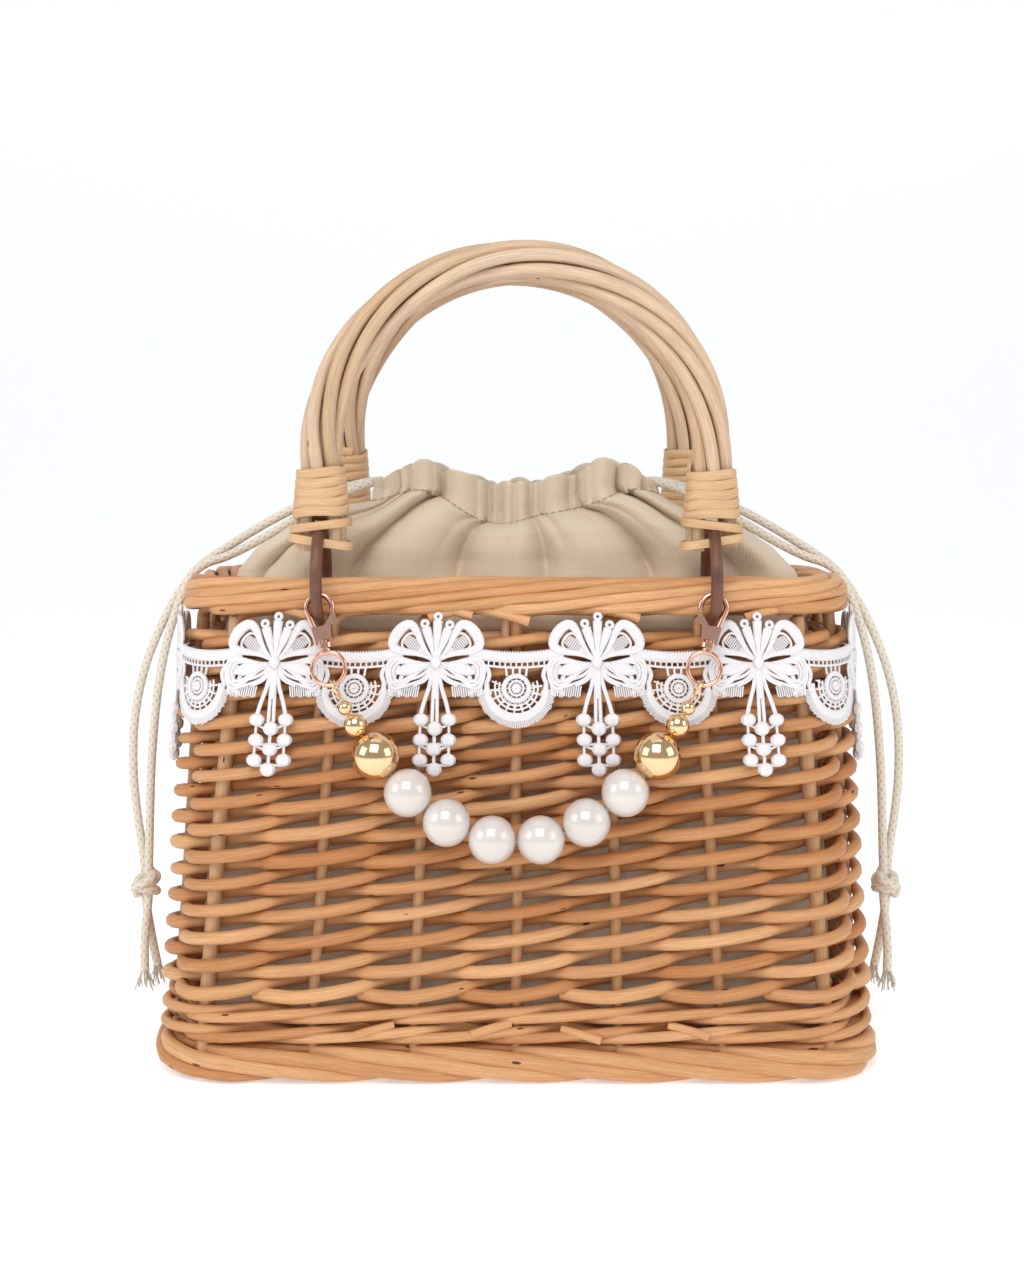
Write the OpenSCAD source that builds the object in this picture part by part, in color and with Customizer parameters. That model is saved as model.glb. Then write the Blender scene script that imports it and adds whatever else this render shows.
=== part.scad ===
// Flower girl basket: a small square willow basket with two hinged bow handles, a drawstring
// bag lining, a lace trim, and a pearl chain on two swivel clasps.
// Front is -Y, up is +Z, and the origin is on the floor under the middle of the basket.

/* [Basket] */
// Half of the length of the line of stakes at the floor
floor_half_l = 121; // [105:1:140]
// Half of the depth of the line of stakes at the floor
floor_half_d = 57; // [54:1:66]
// How far the line of stakes leans in at each end, floor to rim
taper_l = 9.5; // [6:0.5:12]
// How far the line of stakes leans in at front and back, floor to rim
taper_d = 9; // [6:0.5:12]
// Radius of the corners, at the line of stakes
corner_r = 24; // [22:1:26]
// Height of the rim
rim_h = 171; // [165:1:180]

/* [Handles] */
// Radius of the bow of each handle, at the middle of its rods
bow_r = 67.5; // [67:0.5:68]
// Thickness of one handle rod
rod_d = 4.8; // [4:0.1:5]
// Height of the middle of the front bow above the ring's centre
front_leg_h = 42; // [40:1:48]
// Height of the middle of the rear bow above the ring's centre
rear_leg_h = 50; // [48:1:52]
// How far the rear handle leans towards the front, in degrees
rear_lean = 8; // [0:1:9]

/* [Rings] */
// Radius of the rings, at the middle of the wire
ring_r = 16.5; // [16:0.1:17]
// Radius of the wire of the rings
ring_wire_r = 2.05; // [1.8:0.05:2.1]

/* [Pearl chain] */
// Diameter of the pearls and of the large gold beads
pearl_d = 16; // [14:0.5:16]
// Diameter of the middle gold beads
mid_bead_d = 8; // [6:0.5:8]
// Diameter of the small gold beads
small_bead_d = 5; // [4:0.5:5]

/* [Hidden] */

willow = "#cf9a5f";
pale_willow = "#d8ad7c";
linen = "#e2d6c2";
lace_white = "#f7f4f0";
cord_cotton = "#e6dccd";
ring_brown = "#6b4128";
rose_gold = "#dba184";
gold = "#d8ac4a";
pearl_white = "#f3eee8";

// Heights of the woven bands
foot_top = 11;
wale_top = 27;
weave_top = 151.5;
border_bottom = 157.5;
// The weave lies this far on each side of the line of stakes
weave_reach = 6.5;
stake_gap = 0.15;
// Places of the stakes round a quarter of the basket, as shares of the whole way round
stake_shares = [0, 0.0525, 0.1045, 0.161, 0.206, 0.25];
stake_r = 2;
corner_stake_r = 2.6;

// Half length and half depth of the line of stakes at height z
function half_l(z) = floor_half_l - taper_l * z / rim_h;
function half_d(z) = floor_half_d - taper_d * z / rim_h;

// Point at distance s along a quarter of a rounded rectangle, from the middle of the front to the right
function quarter_point(a, b, r, s) =
    s <= a - r ? [s, -b]
    : s <= a - r + r * PI / 2
        ? let (t = (s - a + r) / r * 180 / PI) [a - r + r * sin(t), -(b - r) - r * cos(t)]
        : [a, -(b - r) + s - (a - r) - r * PI / 2];
function way_round(a, b, r) = 4 * (a + b) - 8 * r + 2 * PI * r;
function stake_point(share, z) =
    let (a = half_l(z), b = half_d(z), p = quarter_point(a, b, corner_r, share * way_round(a, b, corner_r)))
    [p[0], p[1], z];

function arc(cx, cy, r, from, to, n) =
    [for (i = [0:n]) let (t = from + (to - from) * i / n) [cx + r * cos(t), cy + r * sin(t)]];
// Rounded rectangle as points, going round counter-clockwise from the front right corner
function rounded(a, b, r, n) = concat(
    arc(a - r, -(b - r), r, 270, 360, n), arc(a - r, b - r, r, 0, 90, n),
    arc(-(a - r), b - r, r, 90, 180, n), arc(-(a - r), -(b - r), r, 180, 270, n));
function at_height(points, z) = [for (p = points) [p[0], p[1], z]];
function backwards(list) = [for (i = [len(list) - 1:-1:0]) list[i]];
function flat(lists) = [for (l = lists) for (x = l) x];
function unit(v) = v / norm(v);

// Skin over a row of rings of points. A closed row joins its last ring to its first, as a tube does.
module loft(rings, closed) {
    n = len(rings[0]);
    m = len(rings);
    steps = closed ? m : m - 1;
    sides = [for (j = [0:steps - 1], i = [0:n - 1]) let (
        a = j * n + i, b = j * n + (i + 1) % n,
        c = ((j + 1) % m) * n + i, d = ((j + 1) % m) * n + (i + 1) % n) [[a, c, b], [b, c, d]]];
    caps = closed ? [] : [[for (i = [0:n - 1]) i], [for (i = [n - 1:-1:0]) (m - 1) * n + i]];
    polyhedron(points = flat(rings), faces = concat(flat(sides), caps), convexity = 8);
}

module rod_between(p, q, r) {
    d = q - p;
    translate(p) rotate([0, acos(d[2] / norm(d)), atan2(d[1], d[0])]) cylinder(h = norm(d), r = r, $fn = 24);
}

// A profile carried round a rounded rectangle: each of its points is [outwards, up], counter-clockwise
module carried_round(a, b, r, profile)
    loft([for (p = profile) at_height(rounded(a + p[0], b + p[0], r + p[0], 7), p[1])], true);

// ---- Stakes: the upright rods that everything is woven round ----

module stake(share, r, gap) {
    rod_between(stake_point(share, gap > 0 ? -3 : 0.5), stake_point(share, gap > 0 ? 180 : 166), r + gap);
}

module stakes_at(shares, r, gap, sides_x, sides_y) {
    for (share = shares, mx = sides_x, my = sides_y)
        if ((share > 0 || mx == 0) && (share < 0.25 || my == 0))
            mirror([mx, 0, 0]) mirror([0, my, 0]) stake(share, r, gap);
}

module corner_stakes(gap = 0) color(pale_willow) stakes_at([stake_shares[3]], corner_stake_r, gap, [0, 1], [0, 1]);
module side_stakes(gap = 0) color(pale_willow) stakes_at([stake_shares[4], stake_shares[5]], stake_r, gap, [0, 1], [0, 1]);
module front_stakes(gap = 0) color(pale_willow)
    stakes_at([for (i = [0:2]) stake_shares[i]], stake_r, gap, [0, 1], [0]);
module back_stakes(gap = 0) color(pale_willow)
    stakes_at([for (i = [0:2]) stake_shares[i]], stake_r, gap, [0, 1], [1]);
module stake_holes() {
    corner_stakes(stake_gap);
    side_stakes(stake_gap);
    front_stakes(stake_gap);
    back_stakes(stake_gap);
}

// ---- Base: seven sticks with rods woven across them ----

base_z = 6.7;
base_stick_r = 2.8;
base_half_l = 108;
base_half_d = 47;
base_stick_pitch = 14;

module base_stick_row(gap) {
    for (i = [-3:3]) translate([-base_half_l + 4 - gap, i * base_stick_pitch, base_z]) rotate([0, 90, 0])
        cylinder(h = 2 * (base_half_l - 4 + gap), r = base_stick_r + gap, $fn = 24);
}

module base_sticks() color(pale_willow) base_stick_row(0);

module base_weave() color(willow) difference() {
    translate([0, 0, base_z - 4.2]) linear_extrude(8.4)
        polygon(rounded(base_half_l, base_half_d, 16, 6));
    base_stick_row(stake_gap);
}

// ---- Foot, wale and rim: bands of rods laid round the basket ----

// Right-hand half of a band's profile, one bulge for each rod, and the same turned over for the left
function bulges(low, high, count, reach, dip) = let (step = (high - low) / count)
    flat([for (i = [0:count - 1]) let (z = low + i * step)
        [[reach - dip, z], [reach - dip * 0.3, z + step * 0.2], [reach, z + step * 0.5], [reach - dip * 0.3, z + step * 0.8]]]);
function band(low, high, count, reach, dip) = let (
    right = concat(bulges(low, high, count, reach, dip), [[reach - dip, high]]))
    concat(right, backwards([for (p = right) [-p[0], p[1]]]));

module foot_border() color(willow) difference() {
    carried_round(half_l(5), half_d(5), corner_r, band(0, foot_top, 2, 7, 0.9));
    stake_holes();
}

module bottom_wale() color(willow) difference() {
    carried_round(half_l(19), half_d(19), corner_r, band(foot_top, wale_top, 4, 6.5, 0.8));
    stake_holes();
}

module top_border() color(willow) difference() {
    carried_round(half_l(164), half_d(164), corner_r, [
        [5, 158], [6.6, 159.4], [7, 161], [6.5, 162.8], [7.1, 164.4], [6.9, 166], [5.9, 167.4], [6.1, 168.8],
        [5.3, 170.3], [3.9, 171], [2.2, 170.2], [0, 171], [-2.2, 170.2], [-3.9, 171], [-5.3, 170.3],
        [-6.1, 168.8], [-5.9, 167.4], [-6.9, 166], [-7.1, 164.4], [-6.5, 162.8], [-7, 161], [-6.6, 159.4], [-5, 158]]);
    stake_holes();
}

// ---- Side weave: four flat walls of rods, joined by four rounded corners ----

corner_steps = 10;
// How far a corner runs on along the short walls, past its curve
corner_run = 8;

// The two ends of the wall between the corners at angles from + 22.5 and from + 67.5
function wall_path(a, b, r, from) = [for (t = [from + 22.5, from + 67.5])
    [sign(cos(t)) * (a - r) + r * cos(from + 45),
        sign(sin(t)) * (b - r - (abs(cos(from + 45)) > 0.5 ? corner_run : 0)) + r * sin(from + 45)]];
function corner_path(a, b, r, from) = let (
    sx = sign(cos(from + 45)), sy = sign(sin(from + 45)),
    curve = arc(sx * (a - r), sy * (b - r), r, from, from + 90, corner_steps),
    past = [[sx * a, sy * (b - r - corner_run)]])
    from % 180 == 90 ? concat(curve, past) : concat(past, curve);

function wall_ring(z, from) = let (a = half_l(z), b = half_d(z), r = corner_r, w = weave_reach)
    at_height(concat(wall_path(a + w, b + w, r + w, from), backwards(wall_path(a - w, b - w, r - w, from))), z);
function corner_ring(z, from) = let (a = half_l(z), b = half_d(z), r = corner_r, w = weave_reach)
    at_height(concat(corner_path(a + w, b + w, r + w, from), backwards(corner_path(a - w, b - w, r - w, from))), z);

module weave_wall(from) color(willow) difference() {
    loft([wall_ring(wale_top, from), wall_ring(weave_top, from)], false);
    stake_holes();
}
module weave_corner(from) color(willow) difference() {
    loft([corner_ring(wale_top, from), corner_ring(weave_top, from)], false);
    stake_holes();
}

module front_weave() weave_wall(225);
module right_weave() weave_wall(315);
module back_weave() weave_wall(45);
module left_weave() weave_wall(135);
module front_right_weave() weave_corner(270);
module rear_right_weave() weave_corner(0);
module rear_left_weave() weave_corner(90);
module front_left_weave() weave_corner(180);

// ---- Drawstring bag: lining inside the basket, and its top gathered to a mouth ----

cloth = 0.9;
bag_steps = 6;
lining_bottom = 12;
lining_top = 150;
// Clear space between the weave and the lining
lining_gap = 0.6;

function bag_ring(z, a, b, r, inset) = at_height(rounded(a - inset, b - inset, r - inset, bag_steps), z);
function lining_ring(z, inset) =
    let (off = weave_reach + lining_gap)
    bag_ring(z, half_l(z) - off, half_d(z) - off, corner_r - off, inset);

module lining_bag() color(linen)
    loft([lining_ring(lining_bottom, 0), lining_ring(lining_top, 0), lining_ring(lining_top, cloth),
        [for (p = lining_ring(lining_bottom, cloth)) [p[0], p[1], lining_bottom + cloth]]], false);

// Height, half length, half depth and corner radius up the top of the bag, from the lining to the neck
bag_levels = [[150, 105, 41.5, 16], [155, 104, 35.6, 14], [160, 103, 32, 12], [165, 102, 29.8, 11],
    [172, 100, 28.8, 10], [179, 93, 28, 12], [186, 80, 25, 14], [193, 65, 20, 13], [198, 51, 15, 11]];

module bag_top() color(linen)
    loft(concat([for (l = bag_levels) bag_ring(l[0], l[1], l[2], l[3], 0)],
        backwards([for (l = bag_levels) bag_ring(l[0], l[1], l[2], l[3], cloth)])), true);

casing_top = 211;
mouth_half_l = 38;
mouth_half_d = 5.5;

module drawstring_casing() color(linen) difference() {
    translate([0, 0, 198]) linear_extrude(casing_top - 198) polygon(rounded(50, 15, 12, 8));
    translate([0, 0, 197]) linear_extrude(casing_top - 196)
        polygon(rounded(mouth_half_l, mouth_half_d, 5, 8));
    // Ends of the channel, where the two cords come out
    for (sx = [-1, 1], sy = [-1, 1]) translate([sx * 52, sy * 2.4, 204]) rotate([0, -sx * 90, 0])
        cylinder(h = 9, r = 1.9, $fn = 24);
}

// ---- Lace: a band round the top of the weave, with a flower and a pendant at each repeat ----

lace_low = 121;
lace_high = 148;
lace_off = weave_reach + 0.25;
lace_thick = 0.8;
lace_count = 12;

function lace_ring(z, off) =
    at_height(rounded(half_l(z) + off, half_d(z) + off, corner_r + off, 6), z);

module lace_band() color(lace_white)
    loft([lace_ring(lace_low, lace_off + lace_thick), lace_ring(lace_high, lace_off + lace_thick),
        lace_ring(lace_high, lace_off), lace_ring(lace_low, lace_off)], true);

// Places of the flowers along the four walls: front and back have four, and the ends have two
function lace_places() = [for (x = [-82.5, -27.5, 27.5, 82.5], side = [-1, 1]) [x, side, 0]];
lace_end_y = 24;

// Puts a flat shape, drawn in x and z with its back at y = 0, on the outside of the wall at height z
module on_walls(z, off) {
    lean_d = atan(taper_d / rim_h);
    lean_l = atan(taper_l / rim_h);
    for (x = [-82.5, -27.5, 27.5, 82.5], t = [0, 180]) rotate([0, 0, t])
        translate([x, -(half_d(z) + off), z]) rotate([-lean_d, 0, 0]) children();
    for (y = [-lace_end_y, lace_end_y], t = [90, 270]) rotate([0, 0, t])
        translate([y, -(half_l(z) + off), z]) rotate([-lean_l, 0, 0]) children();
}

flower_z = 144;
module lace_flowers() color(lace_white) on_walls(flower_z, lace_off + lace_thick + 0.05)
    rotate([90, 0, 0]) linear_extrude(0.7) union() {
        circle(r = 3.6, $fn = 24);
        for (t = [28, 152]) rotate(t) translate([8, 0]) circle(r = 5.4, $fn = 24);
        for (t = [-12, 192]) rotate(t) translate([8.5, 0]) circle(r = 4.6, $fn = 24);
        for (t = [70, 90, 110]) rotate(t) translate([4, 0]) square([9.5, 2.2], center = false);
    }

pendant_z = 117;
module lace_pendants() color(lace_white) on_walls(pendant_z, weave_reach + 0.2)
    rotate([90, 0, 0]) linear_extrude(0.9) union() {
        for (x = [-6, 0, 6], i = [0:2]) translate([x, -i * 4.9 - (x == 0 ? 2 : 0)]) circle(r = 2.75, $fn = 16);
        translate([-1, -4]) square([2, 7.6]);
        translate([-6, -12]) square([12, 10]);
    }

// ---- Drawstrings: two cotton cords, each leaving the casing at one end of the mouth ----

cord_r = 1.65;
cord_sides = 8;
// Route of the back strand of the left cord, from the casing over the rim to the knot
back_strand = [[-45, 2.4, 204], [-50, 2.4, 204], [-56, 2.6, 203.4], [-64, 3, 201.4], [-74, 3, 197.6],
    [-86, 3, 192.2], [-98, 3, 185.6], [-108, 3, 179.4], [-115, 3, 174.8], [-120, 3, 170.6],
    [-124.6, 3, 165], [-129.6, 3, 157], [-134.4, 2.8, 147], [-138.6, 2.4, 136], [-141.6, 2, 124],
    [-143.2, 1.8, 112], [-143.6, 1.8, 100], [-143, 1.8, 88], [-141.6, 1.9, 76], [-140, 2, 66],
    [-139.2, 2, 57]];
front_strand = [[-45, -2.4, 204], [-50, -2.4, 204], [-56, -2.6, 202.6], [-64, -3, 199.4], [-74, -3, 194.4],
    [-86, -3, 187.6], [-98, -3, 180.6], [-108, -3, 175.8], [-115, -3, 173.4], [-120.4, -3, 169.4],
    [-123.6, -3, 163], [-126.8, -3, 155], [-129.8, -2.8, 145], [-132.2, -2.4, 134], [-134, -2, 122],
    [-135.2, -1.8, 110], [-136, -1.8, 98], [-136.4, -1.8, 86], [-136.6, -1.9, 76], [-136.8, -2, 66],
    [-137, -2, 57]];
back_tail = [[-139, 2, 49.5], [-138.6, 2.4, 44], [-137.4, 3, 36], [-136, 3.4, 28], [-134.8, 3.6, 21]];
front_tail = [[-137, -2, 49.5], [-137.4, -2.4, 44], [-138, -3, 36], [-138.2, -3.4, 28], [-138, -3.6, 21]];
knot_place = [-138, 0, 53];

function tangent(route, i) =
    unit(route[min(i + 1, len(route) - 1)] - route[max(i - 1, 0)]);
function tube_ring(p, t, r, sides) =
    let (u = unit(cross([0, 1, 0], t)), v = cross(t, u))
    [for (k = [0:sides - 1]) p + r * (cos(k * 360 / sides) * u + sin(k * 360 / sides) * v)];

module tube(route, r, sides)
    loft([for (i = [0:len(route) - 1]) tube_ring(route[i], tangent(route, i), r, sides)], false);

module strand(route, tail) color(cord_cotton) union() {
    tube(route, cord_r, cord_sides);
    tube(tail, cord_r, cord_sides);
}

module left_cord_back() strand(back_strand, back_tail);
module left_cord_front() strand(front_strand, front_tail);
module right_cord_back() mirror([1, 0, 0]) left_cord_back();
module right_cord_front() mirror([1, 0, 0]) left_cord_front();

module left_knot() color(cord_cotton) translate(knot_place) union() {
    sphere(r = 4.3, $fn = 32);
    rotate([24, 0, 0]) rotate_extrude($fn = 32) translate([3.5, 0]) circle(r = 1.75, $fn = 16);
}
module right_knot() mirror([1, 0, 0]) left_knot();

// ---- Rings: four stiff brown rings through the gap under the rim ----

ring_x = bow_r;
ring_y = half_d(164);
slot_r = ring_wire_r + 0.3;

module ring_round(x, y, r) translate([x, y, rim_h]) rotate([0, 90, 0])
    rotate_extrude($fn = 64) translate([ring_r, 0]) circle(r = r, $fn = 24);

module front_left_ring() color(ring_brown) ring_round(-ring_x, -ring_y, ring_wire_r);
module front_right_ring() color(ring_brown) ring_round(ring_x, -ring_y, ring_wire_r);
module rear_left_ring() color(ring_brown) ring_round(-ring_x, ring_y, ring_wire_r);
module rear_right_ring() color(ring_brown) ring_round(ring_x, ring_y, ring_wire_r);

// ---- Handles: seven rods bent to a bow, their feet lashed round the rings ----

bundle_r = rod_d - 0.05;
leg_foot = 21.5;
prong_foot = 9.5;

// Centres of the rods in the bundle, in its own cross-section
function bundle_places() = concat([[0, 0]], [for (t = [0:60:300]) bundle_r * [cos(t), sin(t)]]);

module bundle(extra) for (p = bundle_places()) translate(p) circle(r = rod_d / 2 + extra, $fn = 24);

// One bow in its own frame: the rings' centres are on the x axis and the bow stands in the x, z plane
module bow(leg_h, extra) {
    for (sx = [-1, 1]) translate([sx * bow_r, 0, leg_foot]) linear_extrude(leg_h - leg_foot) bundle(extra);
    translate([0, 0, leg_h]) rotate([90, 0, 0]) rotate_extrude(angle = 180, $fn = 96)
        translate([bow_r, 0]) bundle(extra);
}

// The outer rods of each leg run on down beside the ring
module prongs(extra) for (sx = [-1, 1], t = [0:60:300]) if (abs(cos(t)) > 0.4)
    translate([sx * bow_r + bundle_r * cos(t) * (abs(cos(t)) < 0.9 ? 1.35 : 1.05), bundle_r * sin(t), prong_foot])
        cylinder(h = leg_foot - prong_foot + 0.01, r = rod_d / 2 + extra, $fn = 24);

module handle_rods(leg_h) color(pale_willow) difference() {
    union() {
        bow(leg_h, 0);
        prongs(0);
    }
    for (x = [-ring_x, ring_x]) ring_at_origin(x, slot_r);
}

module ring_at_origin(x, r) translate([x, 0, 0]) rotate([0, 90, 0])
    rotate_extrude($fn = 64) translate([ring_r, 0]) circle(r = r, $fn = 24);

lashing_low = 12;
lashing_turn_h = 4.33;
front_turns = 6;
rear_turns = 8;

// Flat willow skein wound round a foot: one ring for each turn, wider towards the ring
module lashing(side, turns, leg_h) color(willow) difference() {
    for (i = [0:turns - 1]) let (grow = 1.6 * (1 - i / (turns - 1)))
        translate([side * bow_r, 0, lashing_low + i * lashing_turn_h]) linear_extrude(lashing_turn_h)
            polygon(rounded(8.4 + grow, 8 + grow / 2, 5.5, 5));
    bow(leg_h, 0.12);
    prongs(0.12);
    ring_at_origin(side * ring_x, slot_r);
}

module at_front() translate([0, -ring_y, rim_h]) children();
module at_rear() translate([0, ring_y, rim_h]) rotate([rear_lean, 0, 0]) children();

module front_handle_rods() at_front() handle_rods(front_leg_h);
module front_left_lashing() at_front() lashing(-1, front_turns, front_leg_h);
module front_right_lashing() at_front() lashing(1, front_turns, front_leg_h);
module rear_handle_rods() at_rear() handle_rods(rear_leg_h);
module rear_left_lashing() at_rear() lashing(-1, rear_turns, rear_leg_h);
module rear_right_lashing() at_rear() lashing(1, rear_turns, rear_leg_h);

// ---- Clasps: swivel trigger hooks on the front rings ----

// Place of the hook on the ring, in degrees below the ring's foremost point
hook_angle = 25;
hook_wire_r = 0.95;
hook_seat = ring_r - ring_wire_r - hook_wire_r - 0.35;
hook_place = [ring_x, -ring_y - hook_seat * cos(hook_angle), rim_h - hook_seat * sin(hook_angle)];
clasp_out = 7;
clasp_in = 9.5;
loop_r = 4.4;
pin_z = -13.5;
body_thick = 3.6;
slot_thick = 2;
eye_r = 5.6;
eye_wire_r = 0.75;
eye_z = -25.2;

// Puts a right-hand clasp, drawn with the top of its hook at the origin, in its place
module clasp_place(side) mirror([side < 0 ? 1 : 0, 0, 0]) translate(hook_place)
    rotate([-clasp_out, 0, 0]) rotate([0, clasp_in, 0]) children();

module hook_wire(p, q) rod_between(p, q, hook_wire_r);

module clasp_hook() color(rose_gold) difference() {
    union() {
        translate([0, 0, -loop_r]) rotate([90, 0, 0]) rotate_extrude(angle = 205, $fn = 64)
            translate([loop_r, 0]) circle(r = hook_wire_r, $fn = 24);
        hook_wire([loop_r, 0, -loop_r], [2.5, 0, -11.4]);
        translate([loop_r, 0, -loop_r]) sphere(r = hook_wire_r, $fn = 24);
        translate([0, body_thick / 2, 0]) rotate([90, 0, 0]) linear_extrude(body_thick)
            polygon([[-3.2, -10.6], [3.6, -10.6], [2.7, -16.6], [-2.7, -16.6]]);
        translate([0, 0, -18]) cylinder(h = 1.6, r = 2.7, $fn = 32);
        for (x = [-2.35, 2.35]) translate([x - 0.4, -1.2, -16.8]) cube([0.8, 2.4, 1]);
    }
    // Slot for the gate, open towards the gate's side
    translate([-5, -slot_thick / 2, -15]) cube([6.8, slot_thick, 6]);
    translate([0, 3, pin_z]) rotate([90, 0, 0]) cylinder(h = 6, r = 0.75, $fn = 24);
    // Window and bore for the swivel's post
    translate([-1.9, -3, -16.4]) cube([3.8, 6, 1.1]);
    translate([0, 0, -19]) cylinder(h = 4, r = 1, $fn = 24);
}

gate_tip = [-loop_r * cos(25) - 0.25, 0, -loop_r - loop_r * sin(25) - 1.15];

module clasp_gate() color(rose_gold) difference() {
    translate([0, 0.8, 0]) rotate([90, 0, 0]) linear_extrude(1) polygon(concat(
        arc(0, pin_z, 1.35, 215, 395, 12),
        arc(gate_tip[0], gate_tip[2], 0.85, 35, 215, 8),
        [[-5.5, -8.9], [-5.7, -10], [-5, -10.7], [-3.5, -10.5]]));
    translate([0, 3, pin_z]) rotate([90, 0, 0]) cylinder(h = 6, r = 0.76, $fn = 24);
}

module gate_pin() color(rose_gold) translate([0, 0, pin_z]) rotate([90, 0, 0]) union() {
    translate([0, 0, -2.3]) cylinder(h = 4.6, r = 0.7, $fn = 24);
    for (s = [-1, 1]) translate([0, 0, s * 2.1 - 0.25]) cylinder(h = 0.5, r = 1.3, $fn = 24);
}

module gate_spring() color("silver") translate([0, 0, pin_z]) rotate([90, 0, 0])
    for (i = [0:1]) translate([0, 0, 0.42 + i * 0.36]) rotate_extrude($fn = 24)
        translate([1.05, 0]) circle(r = 0.15, $fn = 12);

module swivel_eye() color(rose_gold) union() {
    translate([0, 0, -16.2]) cylinder(h = 0.7, r = 1.5, $fn = 24);
    translate([0, 0, eye_z + eye_r]) cylinder(h = -16.2 - eye_z - eye_r + 0.1, r = 0.9, $fn = 24);
    translate([0, 0, -19.3]) cylinder(h = 0.8, r = 1.9, $fn = 24);
    translate([0, 0, eye_z]) rotate([90, 0, 0]) rotate_extrude($fn = 64)
        translate([eye_r, 0]) circle(r = eye_wire_r, $fn = 20);
}

module left_clasp_hook() clasp_place(-1) clasp_hook();
module left_clasp_gate() clasp_place(-1) clasp_gate();
module left_gate_pin() clasp_place(-1) gate_pin();
module left_gate_spring() clasp_place(-1) gate_spring();
module left_swivel_eye() clasp_place(-1) swivel_eye();
module right_clasp_hook() clasp_place(1) clasp_hook();
module right_clasp_gate() clasp_place(1) clasp_gate();
module right_gate_pin() clasp_place(1) gate_pin();
module right_gate_spring() clasp_place(1) gate_spring();
module right_swivel_eye() clasp_place(1) swivel_eye();

// ---- Pearl chain: beads on a string that hangs as a catenary between the two swivel eyes ----

sag_a = 43.3;
sag_bottom = 83.5;
chain_tilt = 8;
chain_pivot = [0, -63.9, 135.7];
bead_gap = 0.3;
string_r = 0.45;
bore_r = 0.6;

function asinh(v) = ln(v + sqrt(v * v + 1));
function cosh(v) = (exp(v) + exp(-v)) / 2;
// A place at distance s along the chain from its lowest point, and the chain's direction there
function chain_x(s) = sag_a * asinh(s / sag_a);
function chain_at(s) = let (x = chain_x(s)) [x, 0, sag_bottom + sag_a * (cosh(x / sag_a) - 1) - chain_pivot[2]];
function chain_slope(s) = atan(s / sag_a);

half_pitch = (pearl_d + bead_gap) / 2;
pearl_s = [for (i = [0:5]) (i - 2.5) * 2 * half_pitch];
gold_s = 7 * half_pitch;
mid_s = gold_s + pearl_d / 2 + bead_gap + mid_bead_d / 2;
small_s = mid_s + mid_bead_d / 2 + bead_gap + small_bead_d / 2;
string_end_s = small_s + small_bead_d / 2 + 1;

module chain_place() translate(chain_pivot) rotate([-chain_tilt, 0, 0]) children();

// A ball turned about its own bore
module bead(s, d) chain_place() translate(chain_at(s)) rotate([0, 90 - chain_slope(s), 0])
    rotate_extrude($fn = 48) difference() {
        circle(r = d / 2, $fn = 48);
        translate([bore_r - d, -d]) square([d, 2 * d]);
    }

module pearl(i) color(pearl_white) bead(pearl_s[i - 1], pearl_d);
module pearl_1() pearl(1);
module pearl_2() pearl(2);
module pearl_3() pearl(3);
module pearl_4() pearl(4);
module pearl_5() pearl(5);
module pearl_6() pearl(6);
module right_gold_bead() color(gold) bead(gold_s, pearl_d);
module left_gold_bead() color(gold) bead(-gold_s, pearl_d);
module right_mid_beads() color(gold) {
    bead(mid_s, mid_bead_d);
    bead(small_s, small_bead_d);
}
module left_mid_beads() mirror([1, 0, 0]) right_mid_beads();

// The string runs straight through each bead and bends between them
function through(s, half) = let (p = chain_at(s), t = chain_slope(s), d = [cos(t), 0, sin(t)])
    [p - half * d, p + half * d];
half_string = concat(through(half_pitch, 7.4), through(3 * half_pitch, 7.4), through(5 * half_pitch, 7.4),
    through(gold_s, 7.4), through(mid_s, 3.4), through(small_s, 2.2), [chain_at(string_end_s)]);
string_route = concat(backwards([for (p = half_string) [-p[0], p[1], p[2]]]), half_string);

module bead_string() color(gold) chain_place() tube(string_route, string_r, 8);

// Wire loop from the string's end through the swivel eye
module wire_loop() color(gold) chain_place() translate(chain_at(string_end_s))
    rotate([0, -chain_slope(string_end_s), 0]) union() {
        translate([3.9, 0, 0]) rotate([0, 0, 0]) rotate_extrude($fn = 40)
            translate([2.9, 0]) circle(r = 0.5, $fn = 16);
        translate([0.1, 0, 0]) rotate([0, 90, 0]) cylinder(h = 1.2, r = 0.95, $fn = 20);
    }
module right_wire_loop() wire_loop();
module left_wire_loop() mirror([1, 0, 0]) wire_loop();

base_sticks();
base_weave();
foot_border();
corner_stakes();
front_stakes();
back_stakes();
side_stakes();
bottom_wale();
front_weave();
back_weave();
left_weave();
front_left_weave();
front_right_weave();
rear_left_weave();
rear_right_weave();
right_weave();
top_border();
lining_bag();
bag_top();
drawstring_casing();
lace_band();
lace_flowers();
lace_pendants();
left_cord_back();
left_cord_front();
right_cord_back();
right_cord_front();
left_knot();
right_knot();
front_handle_rods();
front_left_lashing();
front_right_lashing();
rear_handle_rods();
rear_left_lashing();
rear_right_lashing();
front_left_ring();
front_right_ring();
rear_left_ring();
rear_right_ring();
left_clasp_hook();
left_clasp_gate();
left_gate_pin();
left_gate_spring();
left_swivel_eye();
right_clasp_hook();
right_clasp_gate();
right_gate_pin();
right_gate_spring();
right_swivel_eye();
bead_string();
left_wire_loop();
right_wire_loop();
pearl_1();
pearl_2();
pearl_3();
pearl_4();
pearl_5();
pearl_6();
left_gold_bead();
right_gold_bead();
left_mid_beads();
right_mid_beads();
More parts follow.
